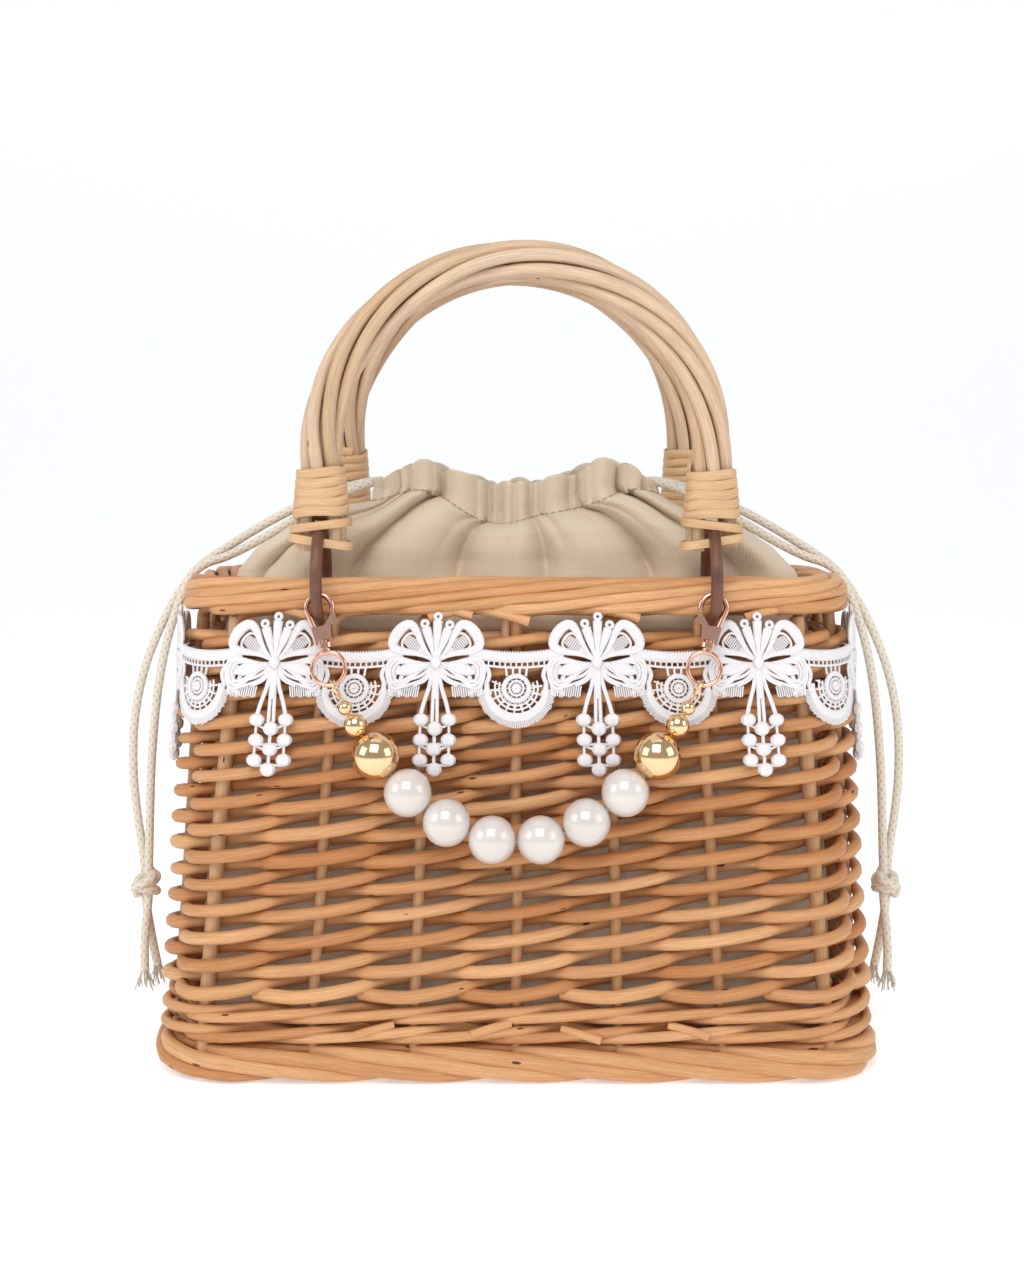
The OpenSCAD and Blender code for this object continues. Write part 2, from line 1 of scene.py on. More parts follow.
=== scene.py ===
import bpy
import math
import random
import numpy as np
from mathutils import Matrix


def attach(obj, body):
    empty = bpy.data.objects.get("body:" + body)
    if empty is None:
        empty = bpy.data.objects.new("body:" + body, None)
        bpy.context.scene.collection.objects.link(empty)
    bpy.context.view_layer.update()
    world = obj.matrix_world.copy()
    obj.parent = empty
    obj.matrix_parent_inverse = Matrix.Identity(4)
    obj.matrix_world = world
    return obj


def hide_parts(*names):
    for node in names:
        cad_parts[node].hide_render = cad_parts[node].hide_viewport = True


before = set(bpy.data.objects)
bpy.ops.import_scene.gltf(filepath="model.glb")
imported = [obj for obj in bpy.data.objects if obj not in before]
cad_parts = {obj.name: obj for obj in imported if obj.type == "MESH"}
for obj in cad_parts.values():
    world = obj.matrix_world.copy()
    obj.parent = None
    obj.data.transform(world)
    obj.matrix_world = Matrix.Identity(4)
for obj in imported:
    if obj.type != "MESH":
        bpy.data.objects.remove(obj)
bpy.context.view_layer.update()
bpy.ops.object.select_all(action="DESELECT")

# ---- Camera ----
# It stands level with the bag's frill and looks straight at the front, with the view moved down to the basket.
bpy.ops.object.camera_add(location=(-0.0015, -0.640, 0.206), rotation=(math.radians(90), 0, 0))
camera = bpy.context.object
camera.data.lens = 48.46
camera.data.shift_y = -0.126
camera.data.clip_start = 0.01
bpy.context.scene.camera = camera
bpy.context.scene.view_settings.view_transform = "Standard"

# ---- Drawstrings ----
# Two braided cotton cords run in the bag's casing. Two strands leave it at each end, go over the
# rim between the handles' feet, hang down in front of the side, and end in one knot with frayed tails.
CORD_R = 0.00165
strand_routes = {
    "back": [(-50, 2.4, 204), (-56, 2.6, 203.4), (-64, 3, 201.4), (-74, 3, 197.6), (-86, 3, 192.2), (-98, 3, 185.6),
             (-108, 3, 179.4), (-115, 3, 174.8), (-120, 3, 170.6), (-124.6, 3, 165), (-129.6, 3, 157), (-134.4, 2.8,
                                                                                                        147),
             (-138.6, 2.4, 136), (-141.6, 2, 124), (-143.2, 1.8, 112), (-143.6, 1.8, 100), (-143, 1.8, 88), (-141.6,
                                                                                                             1.9, 76),
             (-140, 2, 66), (-139.2, 1.8, 58), (-138.9, 1.5, 53), (-138.9, 2, 48), (-138.6, 2.4, 44), (-137.4, 3,
                                                                                                       36), (-136,
                                                                                                             3.4, 28),
             (-134.8, 3.6, 22)],
    "front": [(-50, -2.4, 204), (-56, -2.6, 202.6), (-64, -3, 199.4), (-74, -3, 194.4), (-86, -3, 187.6),
              (-98, -3, 180.6),
              (-108, -3, 175.8), (-115, -3, 173.4), (-120.4, -3, 169.4), (-123.6, -3, 163), (-126.8, -3,
                                                                                             155), (-129.8, -2.8,
                                                                                                    145),
              (-132.2, -2.4, 134), (-134, -2, 122), (-135.2, -1.8, 110), (-136, -1.8, 98), (-136.4, -1.8,
                                                                                            86), (-136.6, -1.9, 76),
              (-136.8, -2, 66), (-137, -1.8, 58), (-137.1, -1.5, 53), (-137.1, -2, 48), (-137.4, -2.4, 44), (-138, -3,
                                                                                                             36),
              (-138.2, -3.4, 28), (-138, -3.6, 22)],
}


def smooth(points, step):
    """The same route as an even row of points, step metres apart, on a smooth curve through the given points."""
    p = np.array(points, float)
    p = np.vstack([2 * p[0] - p[1], p, 2 * p[-1] - p[-2]])
    fine = []
    for a, b, c, d in zip(p, p[1:], p[2:], p[3:]):
        for t in np.linspace(0, 1, 9)[:-1]:
            fine.append(0.5 * (2 * b + (c - a) * t + (2 * a - 5 * b + 4 * c - d) * t * t + (3 * b - a - 3 * c + d) * t ** 3))
    fine = np.array(fine + [p[-2]])
    along = np.concatenate([[0], np.cumsum(np.linalg.norm(np.diff(fine, axis=0), axis=1))])
    even = np.linspace(0, along[-1], max(3, int(round(along[-1] / step)) + 1))
    return np.column_stack([np.interp(even, along, fine[:, i]) for i in range(3)])


def strands(name, courses, sides=8, smooth_shading=True):
    """One mesh of long thin strands. Each course is its points, its radius (one number, a row of numbers, or a row of
    half widths and half thicknesses), its tone from 0 to 1, and for a flat strand the outward direction at each point.
    The mesh keeps its length and girth in its UV map, and in "grain" the place in a straight strand, for the material."""
    verts, faces, grain, tones, uvs = [], [], [], [], []
    count = 0
    for number, course in enumerate(courses):
        points, radius, tone = np.array(course[0], float), course[1], course[2]
        n = len(points)
        radius = np.array(radius, float)
        if radius.ndim == 0:
            radius = np.full((n, 2), float(radius))
        elif radius.ndim == 1:
            radius = np.column_stack([radius, radius])
        tangent = np.gradient(points, axis=0)
        tangent /= np.linalg.norm(tangent, axis=1)[:, None]
        along = np.concatenate([[0], np.cumsum(np.linalg.norm(np.diff(points, axis=0), axis=1))])
        if len(course) > 3:
            out = np.array(course[3], float)
        else:
            out = np.zeros((n, 3))
            out[0] = np.cross(tangent[0], (0.3, 0.5, 0.81))
            for i in range(1, n):
                out[i] = out[i - 1] - tangent[i] * np.dot(out[i - 1], tangent[i])
                out[i] /= np.linalg.norm(out[i])
        out = out - tangent * np.sum(out * tangent, axis=1)[:, None]
        out /= np.linalg.norm(out, axis=1)[:, None]
        side = np.cross(tangent, out)
        turn = np.arange(sides) * 2 * math.pi / sides
        c, s = np.cos(turn), np.sin(turn)
        if len(course) > 3:  # a flat strand is nearly a rectangle with rounded edges
            c, s = np.sign(c) * np.abs(c) ** 0.5, np.sign(s) * np.abs(s) ** 0.5
        ring = (points[:, None, :] + side[:, None, :] * (radius[:, 0][:, None] * c)[:, :, None]
                + out[:, None, :] * (radius[:, 1][:, None] * s)[:, :, None])
        verts.append(ring.reshape(-1, 3))
        g = np.zeros((n, sides, 3))
        g[:, :, 0] = along[:, None] + number * 0.371
        g[:, :, 1] = radius[:, 0][:, None] * c
        g[:, :, 2] = radius[:, 1][:, None] * s + number * 0.013
        grain.append(g.reshape(-1, 3))
        tones.append(np.full(n * sides, tone))
        for i in range(n - 1):
            for k in range(sides):
                k2 = (k + 1) % sides
                faces.append((count + i * sides + k, count + i * sides + k2, count + (i + 1) * sides + k2,
                              count + (i + 1) * sides + k))
                uvs += [(along[i], k / sides), (along[i], (k + 1) / sides), (along[i + 1], (k + 1) / sides),
                        (along[i + 1], k / sides)]
        faces.append(tuple(count + k for k in range(sides))[::-1])
        faces.append(tuple(count + (n - 1) * sides + k for k in range(sides)))
        uvs += [(along[0], k / sides) for k in range(sides)][::-1] + [(along[-1], k / sides) for k in range(sides)]
        count += n * sides
    mesh = bpy.data.meshes.new(name)
    mesh.from_pydata(np.vstack(verts).tolist(), [], faces)
    mesh.attributes.new("grain", "FLOAT_VECTOR", "POINT").data.foreach_set("vector", np.vstack(grain).ravel())
    mesh.attributes.new("tone", "FLOAT", "POINT").data.foreach_set("value", np.concatenate(tones))
    mesh.uv_layers.new(name="UVMap").data.foreach_set("uv", np.array(uvs).ravel())
    made = bpy.data.objects.new(name, mesh)
    bpy.context.scene.collection.objects.link(made)
    bpy.ops.object.select_all(action="DESELECT")
    made.select_set(True)
    bpy.context.view_layer.objects.active = made
    bpy.ops.object.mode_set(mode="EDIT")
    bpy.ops.mesh.select_all(action="SELECT")
    bpy.ops.mesh.normals_make_consistent(inside=False)
    bpy.ops.object.mode_set(mode="OBJECT")
    if smooth_shading:
        bpy.ops.object.shade_smooth_by_angle(angle=math.radians(50))
    return made


def material(name, roughness=0.5, metallic=0.0):
    """An empty Principled material, with its tree and its shader."""
    made = bpy.data.materials.new(name)
    made.use_nodes = True
    shader = made.node_tree.nodes["Principled BSDF"]
    shader.inputs["Roughness"].default_value = roughness
    shader.inputs["Metallic"].default_value = metallic
    return made, made.node_tree, shader


def shader_node(tree, kind, sockets=None, **settings):
    """A shader node with its settings; sockets gives each input a constant or another node's output."""
    made = tree.nodes.new("ShaderNode" + kind)
    for setting, value in settings.items():
        setattr(made, setting, value)
    for socket, value in (sockets or {}).items():
        if isinstance(value, bpy.types.NodeSocket):
            tree.links.new(value, made.inputs[socket])
        else:
            made.inputs[socket].default_value = value
    return made



def ramp(tree, factor, stops, x=0, y=0):
    """A colour ramp on a value, from (place, (red, green, blue)) stops."""
    node = tree.nodes.new("ShaderNodeValToRGB")
    node.location = (x, y)
    while len(node.color_ramp.elements) < len(stops):
        node.color_ramp.elements.new(0.5)
    for element, (place, colour) in zip(node.color_ramp.elements, stops):
        element.position = place
        element.color = (*colour, 1)
    tree.links.new(factor, node.inputs["Fac"])
    return node.outputs["Color"]


# Braided cotton: sixteen fine yarns cross over and under each other, so the cord has a low herringbone relief.
cotton, tree, shader = material("braided_cotton", 0.9)
uv = shader_node(tree, "UVMap", uv_map="UVMap")
spiral = []
for sense in (1, -1):
    split = shader_node(tree, "SeparateXYZ", {0: uv.outputs["UV"]})
    lengthwise = shader_node(tree, "Math", {1: 300.0 * sense}, operation="MULTIPLY")
    around = shader_node(tree, "Math", {1: 4.0}, operation="MULTIPLY")
    total = shader_node(tree, "Math", operation="ADD")
    tree.links.new(split.outputs[0], lengthwise.inputs[0])
    tree.links.new(split.outputs[1], around.inputs[0])
    tree.links.new(lengthwise.outputs[0], total.inputs[0])
    tree.links.new(around.outputs[0], total.inputs[1])
    wave = shader_node(tree, "Math", {1: 0.5, 0: total.outputs[0]}, operation="PINGPONG")
    spiral.append(wave.outputs[0])
crossing = shader_node(tree, "Math", {0: spiral[0], 1: spiral[1]}, operation="MAXIMUM")
bump = shader_node(tree, "Bump", {"Strength": 0.7, "Distance": 0.0006, "Height": crossing.outputs[0]})
tree.links.new(bump.outputs["Normal"], shader.inputs["Normal"])
# The colour follows the same relief: the grooves between the yarns are painted darker, painted shade in the recesses.
tree.links.new(ramp(tree, crossing.outputs[0], [(0.0, (0.52, 0.43, 0.33)), (0.35, (0.78, 0.70, 0.58))]),
               shader.inputs["Base Color"])
shader.inputs["Sheen Weight"].default_value = 0.3

chance = random.Random(7)
for side, sign in (("left", 1), ("right", -1)):
    cords = []
    for which, route in strand_routes.items():
        path = smooth([(x * sign / 1000, y / 1000, z / 1000) for x, y, z in route], 0.0016)
        cord = strands(f"{side}_drawstring_{which}", [(path, CORD_R, 0.5)], sides=12)
        cord.data.materials.append(cotton)
        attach(cord, "basket")
        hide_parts(f"{side}_cord_{which}")
        cords.append((cord, path))
    # The knot is one overhand turn of both strands: two loops round them, pulled tight.
    knot_x, knot_z = -0.138 * sign, 0.053
    turns = []
    for lift, tilt, tone in ((0.0019, 0.35, 0.5), (-0.0016, -0.3, 0.6)):
        ring = [(knot_x + 0.0034 * math.cos(t), 0.0038 * math.sin(t),
                 knot_z + lift + tilt * 0.0038 * math.sin(t + 0.6))
                for t in np.linspace(0, 2 * math.pi * 1.06, 40)]
        turns.append((ring, 0.0018, tone))
    cross = [(knot_x + x * sign, y, knot_z + z) for x, y, z in
             ((-0.003, -0.0015, -0.0035), (-0.0036, -0.0034, 0), (-0.0008, -0.0048, 0.0012),
              (0.0026, -0.0036, 0.0034), (0.0012, 0.0006, 0.0052))]
    turns.append((smooth(cross, 0.0008), 0.0018, 0.5))
    knot = strands(f"{side}_drawstring_knot", turns, sides=12)
    knot.data.materials.append(cotton)
    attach(knot, "basket")
    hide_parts(f"{side}_knot")
    # Each tail's end is cut, and its yarns open into a small brush.
    yarns = []
    for cord, path in cords:
        end, back = path[-1], path[-1] - path[-4]
        back /= np.linalg.norm(back)
        for i in range(26):
            a, spread = chance.uniform(0, 2 * math.pi), chance.uniform(0.1, 1)
            across = np.array([math.cos(a), math.sin(a), 0.0])
            length = chance.uniform(0.004, 0.0075)
            yarn = [end - back * 0.002 + across * CORD_R * 0.6 * spread,
                    end + back * length * 0.4 + across * CORD_R * (0.9 + 0.3 * spread),
                    end + back * length + across * CORD_R * (1 + 1.2 * spread) + np.array([chance.uniform(-1, 1),
                                                                                           chance.uniform(-1,
                                                                                                          1), 0]) * 0.0008]
            yarns.append((smooth(yarn, 0.001), 0.00022, chance.random()))
    fray = strands(f"{side}_drawstring_fray", yarns, sides=5)
    fray.data.materials.append(cotton)
    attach(fray, "basket")
    for (cord, path), which in zip(cords, strand_routes):
        length = float(np.sum(np.linalg.norm(np.diff(path, axis=0), axis=1)))

# ---- Willow ----
# Steamed willow rods, tan to honey brown, with a satin skin, fine lengthwise grain and small dark leaf scars.
# The handles' rods are peeled and paler. One node group makes both finishes.
willow_group = bpy.data.node_groups.new("willow_skin", "ShaderNodeTree")
willow_group.interface.new_socket(name="Pale", in_out="INPUT", socket_type="NodeSocketColor")
willow_group.interface.new_socket(name="Warm", in_out="INPUT", socket_type="NodeSocketColor")
willow_group.interface.new_socket(name="Scar amount", in_out="INPUT", socket_type="NodeSocketFloat")
willow_group.interface.new_socket(name="Color", in_out="OUTPUT", socket_type="NodeSocketColor")
willow_group.interface.new_socket(name="Roughness", in_out="OUTPUT", socket_type="NodeSocketFloat")
willow_group.interface.new_socket(name="Height", in_out="OUTPUT", socket_type="NodeSocketFloat")
N, L = willow_group.nodes, willow_group.links
group_in, group_out = N.new("NodeGroupInput"), N.new("NodeGroupOutput")
grain = shader_node(willow_group, "Attribute", attribute_name="grain")
tone = shader_node(willow_group, "Attribute", attribute_name="tone")


def scaled_noise(scale, detail, rough=0.5):
    """Noise on the grain coordinates, squeezed by scale along and across the rod."""
    squeeze = shader_node(willow_group, "Mapping", {"Scale": scale, "Vector": grain.outputs["Vector"]})
    noise = shader_node(willow_group, "TexNoise",
                        {"Scale": 1.0, "Detail": detail, "Roughness": rough, "Vector": squeeze.outputs["Vector"]})
    return noise.outputs["Fac"]


blotch = scaled_noise((22, 260, 260), 3)
streak = scaled_noise((90, 2600, 2600), 4, 0.65)
mix_in = shader_node(willow_group, "Math", {1: 0.75, 0: blotch, 2: tone.outputs["Fac"]}, operation="MULTIPLY_ADD")
spread = shader_node(willow_group, "MapRange", {"From Min": 0.25, "From Max": 1.45, "Value": mix_in.outputs[0]})
base = shader_node(willow_group, "Mix", {"Factor": spread.outputs[0], "A": group_in.outputs["Pale"], "B": group_in.outputs["Warm"]}, data_type="RGBA")
lines = shader_node(willow_group, "MapRange",
                    {"From Min": 0.36, "From Max": 0.64, "To Min": 0.78, "To Max": 1.1, "Value": streak})
lined = shader_node(willow_group, "Mix", {"Factor": 1.0, "A": base.outputs["Result"], "B": lines.outputs[0]},
                    data_type="RGBA", blend_type="MULTIPLY")
scar_place = shader_node(willow_group, "Mapping", {"Scale": (46, 150, 150), "Vector": grain.outputs["Vector"]})
scar = shader_node(willow_group, "TexVoronoi", {"Scale": 1.0, "Vector": scar_place.outputs["Vector"]})
scar_seen = shader_node(willow_group, "Math", {0: scar.outputs["Distance"], 1: group_in.outputs["Scar amount"]},
                        operation="LESS_THAN")
scarred = shader_node(willow_group, "Mix", {"B": (0.10, 0.035, 0.018, 1), "Factor": scar_seen.outputs[0], "A": lined.outputs["Result"]}, data_type="RGBA")
L.new(scarred.outputs["Result"], group_out.inputs["Color"])
gloss = shader_node(willow_group, "MapRange", {"To Min": 0.36, "To Max": 0.6, "Value": streak})
L.new(gloss.outputs[0], group_out.inputs["Roughness"])
L.new(streak, group_out.inputs["Height"])


def willow(name, pale, warm, scars):
    """A willow finish: paler and warmer ends of its range of colours, and how large its leaf scars are."""
    made, tree, shader = material(name)
    skin = shader_node(tree, "Group", {"Pale": (*pale, 1), "Warm": (*warm, 1), "Scar amount": scars},
                       node_tree=willow_group)
    tree.links.new(skin.outputs["Color"], shader.inputs["Base Color"])
    tree.links.new(skin.outputs["Roughness"], shader.inputs["Roughness"])
    relief = shader_node(tree, "Bump", {"Strength": 0.35, "Distance": 0.0004, "Height": skin.outputs["Height"]})
    tree.links.new(relief.outputs["Normal"], shader.inputs["Normal"])
    shader.inputs["Specular IOR Level"].default_value = 0.4
    return made


steamed = willow("steamed_willow", (0.77, 0.43, 0.20), (0.53, 0.215, 0.07), 0.075)
stake_willow = willow("stake_willow", (0.72, 0.45, 0.25), (0.60, 0.32, 0.14), 0.05)
peeled = willow("peeled_willow", (0.72, 0.53, 0.37), (0.58, 0.37, 0.21), 0.07)

# ---- Stakes ----
# Twenty upright rods stand in the foot and lean in to the rim. The four at the corners are thicker.
HALF_L, HALF_D, TAPER_L, TAPER_D, CORNER_R, RIM = 0.121, 0.057, 0.0095, 0.009, 0.024, 0.171
STAKES = [0, 0.0525, 0.1045, 0.161, 0.206]
STAKES = STAKES + [0.25] + [0.5 - s for s in STAKES[:0:-1]] + [0.5 + s for s in STAKES] + [0.75] + [1 - s for s in STAKES[:0:-1]]
CORNERS = (3, 7, 13, 17)


def wall(turn, z, out=0.0):
    """The point at height z on the line of stakes, turn of the way round from the middle of the front to the right,
    moved outwards by out."""
    a, b, r = HALF_L - TAPER_L * z / RIM, HALF_D - TAPER_D * z / RIM, CORNER_R
    whole = 4 * (a + b) - 8 * r + 2 * math.pi * r
    turn %= 1.0
    quarter, mirror_x, mirror_y = turn, 1, 1
    if turn > 0.5:
        quarter, mirror_x = 1 - turn, -1
    if quarter > 0.25:
        quarter, mirror_y = 0.5 - quarter, -1
    s = quarter * whole
    if s <= a - r:
        x, y, nx, ny = s, -b, 0, -1
    elif s <= a - r + r * math.pi / 2:
        t = (s - a + r) / r
        x, y, nx, ny = a - r + r * math.sin(t), -(b - r) - r * math.cos(t), math.sin(t), -math.cos(t)
    else:
        x, y, nx, ny = a, -(b - r) + s - (a - r) - r * math.pi / 2, 1, 0
    return np.array([(x + nx * out) * mirror_x, (y + ny * out) * mirror_y, z])


def at_stake(i):
    """The turn of stake i, counted on past the last one."""
    return STAKES[i % 20] + i // 20


uprights = []
for i in range(20):
    thick = 0.0026 if i in CORNERS else 0.0020
    wander = [chance.uniform(-0.0004, 0.0004) for _ in range(6)]
    points = [wall(at_stake(i) + w / 0.62, z) for z, w in zip((0.001, 0.03, 0.06, 0.09, 0.12, 0.157), wander)]
    uprights.append((smooth(points, 0.006), thick, chance.random()))
    if i not in CORNERS:  # beside most stakes a thinner one is pushed down to help hold the border
        gap = 0.0036 * chance.choice((-1, 1)) / 0.6
        points = [wall(at_stake(i) + gap, z, -0.0004) for z in (0.118, 0.135, 0.158)]
        uprights.append((smooth(points, 0.006), 0.0016, chance.random()))
stakes = strands("stakes", uprights)
stakes.data.materials.append(stake_willow)
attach(stakes, "basket")
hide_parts("corner_stakes", "front_stakes", "back_stakes", "side_stakes")

# ---- Side weave ----
# A French rand: one rod starts behind each stake, and each goes in front of one stake and behind the next,
# rising to the right. Three sets of twenty rods fill the wall, each rod thinner towards its tip.
rods = []
first, rise, crossing = 0.0294, 0.0046, 0
for length in (10, 10, 7):
    for start in range(20):
        butt, tip = chance.uniform(0.0022, 0.0025), chance.uniform(0.00185, 0.0021)
        tone_of_rod = chance.random()
        lift = [chance.uniform(-0.0003, 0.0003) for _ in range(length + 3)]
        points, radii = [], []
        samples = np.arange(-0.55, length + 0.42, 0.125)
        for c in samples:
            i = start + c
            whole, part = math.floor(i), i - math.floor(i)
            turn = at_stake(whole) + (at_stake(whole + 1) - at_stake(whole)) * part
            k = max(0, min(len(lift) - 2, int(math.floor(c)) + 1))
            z = first + (crossing + c) * rise + lift[k] * (1 - part) + lift[k + 1] * part
            girth = butt + (tip - butt) * (c + 0.55) / (length + 1)
            side = math.cos(math.pi * c)
            side = math.copysign(abs(side) ** 0.8, side)
            points.append(wall(turn, min(0.1500, max(0.0288, z)), side * (girth + 0.0021)))
            radii.append(girth)
        rods.append((points, radii, tone_of_rod))
    crossing += length
weave = strands("side_weave", rods)
weave.data.materials.append(steamed)
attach(weave, "basket")
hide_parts("front_weave", "back_weave", "left_weave", "right_weave", "front_left_weave", "front_right_weave",
            "rear_left_weave", "rear_right_weave")

# ---- Bottom wale ----
# Two rounds of three-rod wale lock the foot of the weave. Each thin rod goes in front of two stakes and behind
# one, lying over the others as it goes, and a few cut tips stick out.
rods = []
for round_number, bottom in ((0, 0.0132), (1, 0.0198)):
    for strand_number in range(3):
        begin = strand_number + round_number * 2
        for piece_start, piece_length in ((begin, 9), (begin + 9, 12)):
            points, radii = [], []
            tone_of_rod = chance.random()
            for c in np.arange(-0.3, piece_length + 0.3, 0.125):
                i = piece_start + c
                whole, part = math.floor(i), i - math.floor(i)
                turn = at_stake(whole) + (at_stake(whole + 1) - at_stake(whole)) * part
                phase = ((i - begin) % 3.0) / 3.0  # 0 behind a stake, then in front of the next two
                out = -math.cos(2 * math.pi * phase)
                out = math.copysign(abs(out) ** 0.7, out) * 0.0038
                up = 0.0044 * (0.5 - 0.5 * math.cos(math.pi * min(1,
                                                                  phase / 0.86))) if phase < 0.86 else 0.0044 * (1 - (phase - 0.86) / 0.14)
                points.append(wall(turn, bottom + up, out + 0.0003))
                radii.append(0.00175)
            rods.append((points, radii, tone_of_rod * 0.8))
for turn, z, lean in ((0.985, 0.0185, -1), (0.035, 0.0165, 1), (0.09, 0.0178, 1), (0.925, 0.018, -1),
                      (0.46, 0.018, 1), (0.56, 0.017, 1)):
    rods.append(([wall(turn - 0.012 * lean, z + 0.0015, 0.003), wall(turn, z, 0.0052),
                  wall(turn + 0.008 * lean, z - 0.0014, 0.0062)], 0.0015, 0.2))
wale = strands("bottom_wale_rods", rods)
wale.data.materials.append(steamed)
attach(wale, "basket")
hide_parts("bottom_wale")

# ---- Foot border ----
# The stakes' thick lower ends are turned down at the foot: each comes out under the wale, slopes down across
# the next stake and goes in under the base. The stubs of the base rods show between them.
rods = []
for i in range(20):
    thick = chance.uniform(0.0025, 0.0029)
    keys = [(-0.35, 0.0098, -0.0005), (-0.05, 0.0096, 0.0024), (0.3, 0.0090, 0.0040), (0.7, 0.0076, 0.0043),
            (1.1, 0.0058, 0.0043),
            (1.5, 0.0042, 0.0041), (1.9, 0.0031, 0.0034), (2.2, 0.0029, 0.0008), (2.45, 0.0029, -0.0028)]
    route = []
    for c, z, out in keys:
        at = i + c + 0.35
        whole, part = math.floor(at), at - math.floor(at)
        route.append(wall(at_stake(whole) + (at_stake(whole + 1) - at_stake(whole)) * part, max(z, thick), out))
    rods.append((smooth(route, 0.004), thick, chance.uniform(0.1, 1)))
for out, z, thick in ((-0.0040, 0.0029, 0.0028), (-0.0040, 0.0082, 0.0027), (-0.0002, 0.0106, 0.0018)):
    for half in (0, 0.5):
        rods.append(([wall(half + t, z, out) for t in np.linspace(0, 0.502, 60)], thick, chance.random()))
for i in range(20):
    for part in (0.35, 0.5, 0.62):
        turn = at_stake(i) + (at_stake(i + 1) - at_stake(i)) * (part + chance.uniform(-0.05, 0.05))
        rods.append(([wall(turn, 0.0015, 0.0002), wall(turn, 0.006, 0.0006), wall(turn, 0.0108, 0.0004)], 0.0017,
                     chance.random()))
foot = strands("foot_border_rods", rods)
foot.data.materials.append(steamed)
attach(foot, "basket")
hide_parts("foot_border")

# ---- Base ----
# Thin rods are woven to and fro over and under the seven base sticks, packed close.
rods = []
pitch_x, pitch_y = 0.0034, 0.014
for number, x in enumerate(np.arange(-0.1055, 0.1056, pitch_x)):
    points = []
    reach = 0.0468 if abs(x) < 0.096 else 0.0468 - 0.009 * ((abs(x) - 0.096) / 0.010) ** 2
    for y in np.linspace(-reach, reach, 43):
        over = math.cos(math.pi * y / pitch_y + math.pi * (number % 2))
        points.append((x, y, 0.0067 + 0.0026 * over))
    rods.append((points, 0.0016, chance.random()))
base = strands("base_weave_rods", rods, sides=6)
base.data.materials.append(steamed)
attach(base, "basket")
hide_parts("base_weave")
sticks = strands("base_stick_rods", [([(-0.1042, y, 0.0067), (0, y, 0.0067), (0.1042, y, 0.0067)], 0.0028, chance.random()) for y in np.arange(-3, 4) * pitch_y])
sticks.data.materials.append(stake_willow)
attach(sticks, "basket")
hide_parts("base_sticks")

# ---- Top border ----
# Each stake is turned down to the right: behind the next one, in front of the three after it, over the rim,
# and back along the inside. Cut tips stick out below the border.
rods = []
for i in range(20):
    thick = chance.uniform(0.00185, 0.0022)
    keys = [(0.0, 0.1555, 0.0), (0.12, 0.1585, -0.0008), (0.5, 0.1596, -0.0040), (1.0, 0.1598, -0.0048),
            (1.5, 0.1596, -0.0010), (1.9, 0.1600, 0.0046),
            (2.4, 0.1613, 0.0052), (3.0, 0.1634, 0.0051), (3.6, 0.1651, 0.0050), (4.0, 0.1664, 0.0048), (4.5, 0.1678,
                                                                                                         0.0042), (5.0, 0.1688, 0.0030),
            (5.5, 0.1689, 0.0008), (6.0, 0.1686, -0.0022), (6.5, 0.1670, -0.0044), (7.0, 0.1648, -0.0050), (7.5,
                                                                                                            0.1628, -0.0050), (7.9, 0.1616, -0.0046)]
    route = []
    for c, z, out in keys:
        at = i + c
        whole, part = math.floor(at), at - math.floor(at)
        route.append(wall(at_stake(whole) + (at_stake(whole + 1) - at_stake(whole)) * part,
                          z + chance.uniform(-0.0003, 0.0003), out + chance.uniform(-0.0003, 0.0003)))
    rods.append((smooth(route, 0.004), thick, chance.random()))
for turn, z, lean in ((0.0075, 0.1560, 1), (0.070, 0.1568, 1), (0.95, 0.1570, -1), (0.885, 0.1572, 1),
                      (0.13, 0.157, -1), (0.975, 0.1578, 1), (0.30, 0.157, 1), (0.45, 0.157, 1), (0.55, 0.1562,
                                                                                                  1), (0.64, 0.157,
                                                                                                       -1)):
    rods.append(([wall(turn - 0.03 * lean, z + 0.0042, 0.0022), wall(turn - 0.012 * lean, z + 0.0022, 0.0046),
                  wall(turn, z, 0.0052)], 0.0019, 0.15))
rim = strands("top_border_rods", rods)
rim.data.materials.append(steamed)
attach(rim, "basket")
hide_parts("top_border")

# ---- Handles ----
# Each bow is seven peeled rods twisted together and bent round. At each foot their ends straddle a ring and are
# bound with six turns of flat willow skein, the lowest crossing over the next.
BOW_R, BUNDLE_R = 0.0675, 0.0051
RING_Y = HALF_D - TAPER_D * 0.164 / RIM
LEAN = math.radians(8)


def stand(points, which):
    """Moves points from a handle's own frame, with the rings' centres on its x axis, to its place on the basket."""
    p = np.array(points, float)
    if which == "front":
        return p + (0, -RING_Y, RIM)
    y, z = p[:, 1] * math.cos(LEAN) - p[:, 2] * math.sin(LEAN), p[:, 1] * math.sin(LEAN) + p[:, 2] * math.cos(LEAN)
    return np.column_stack([p[:, 0], y + RING_Y, z + RIM])


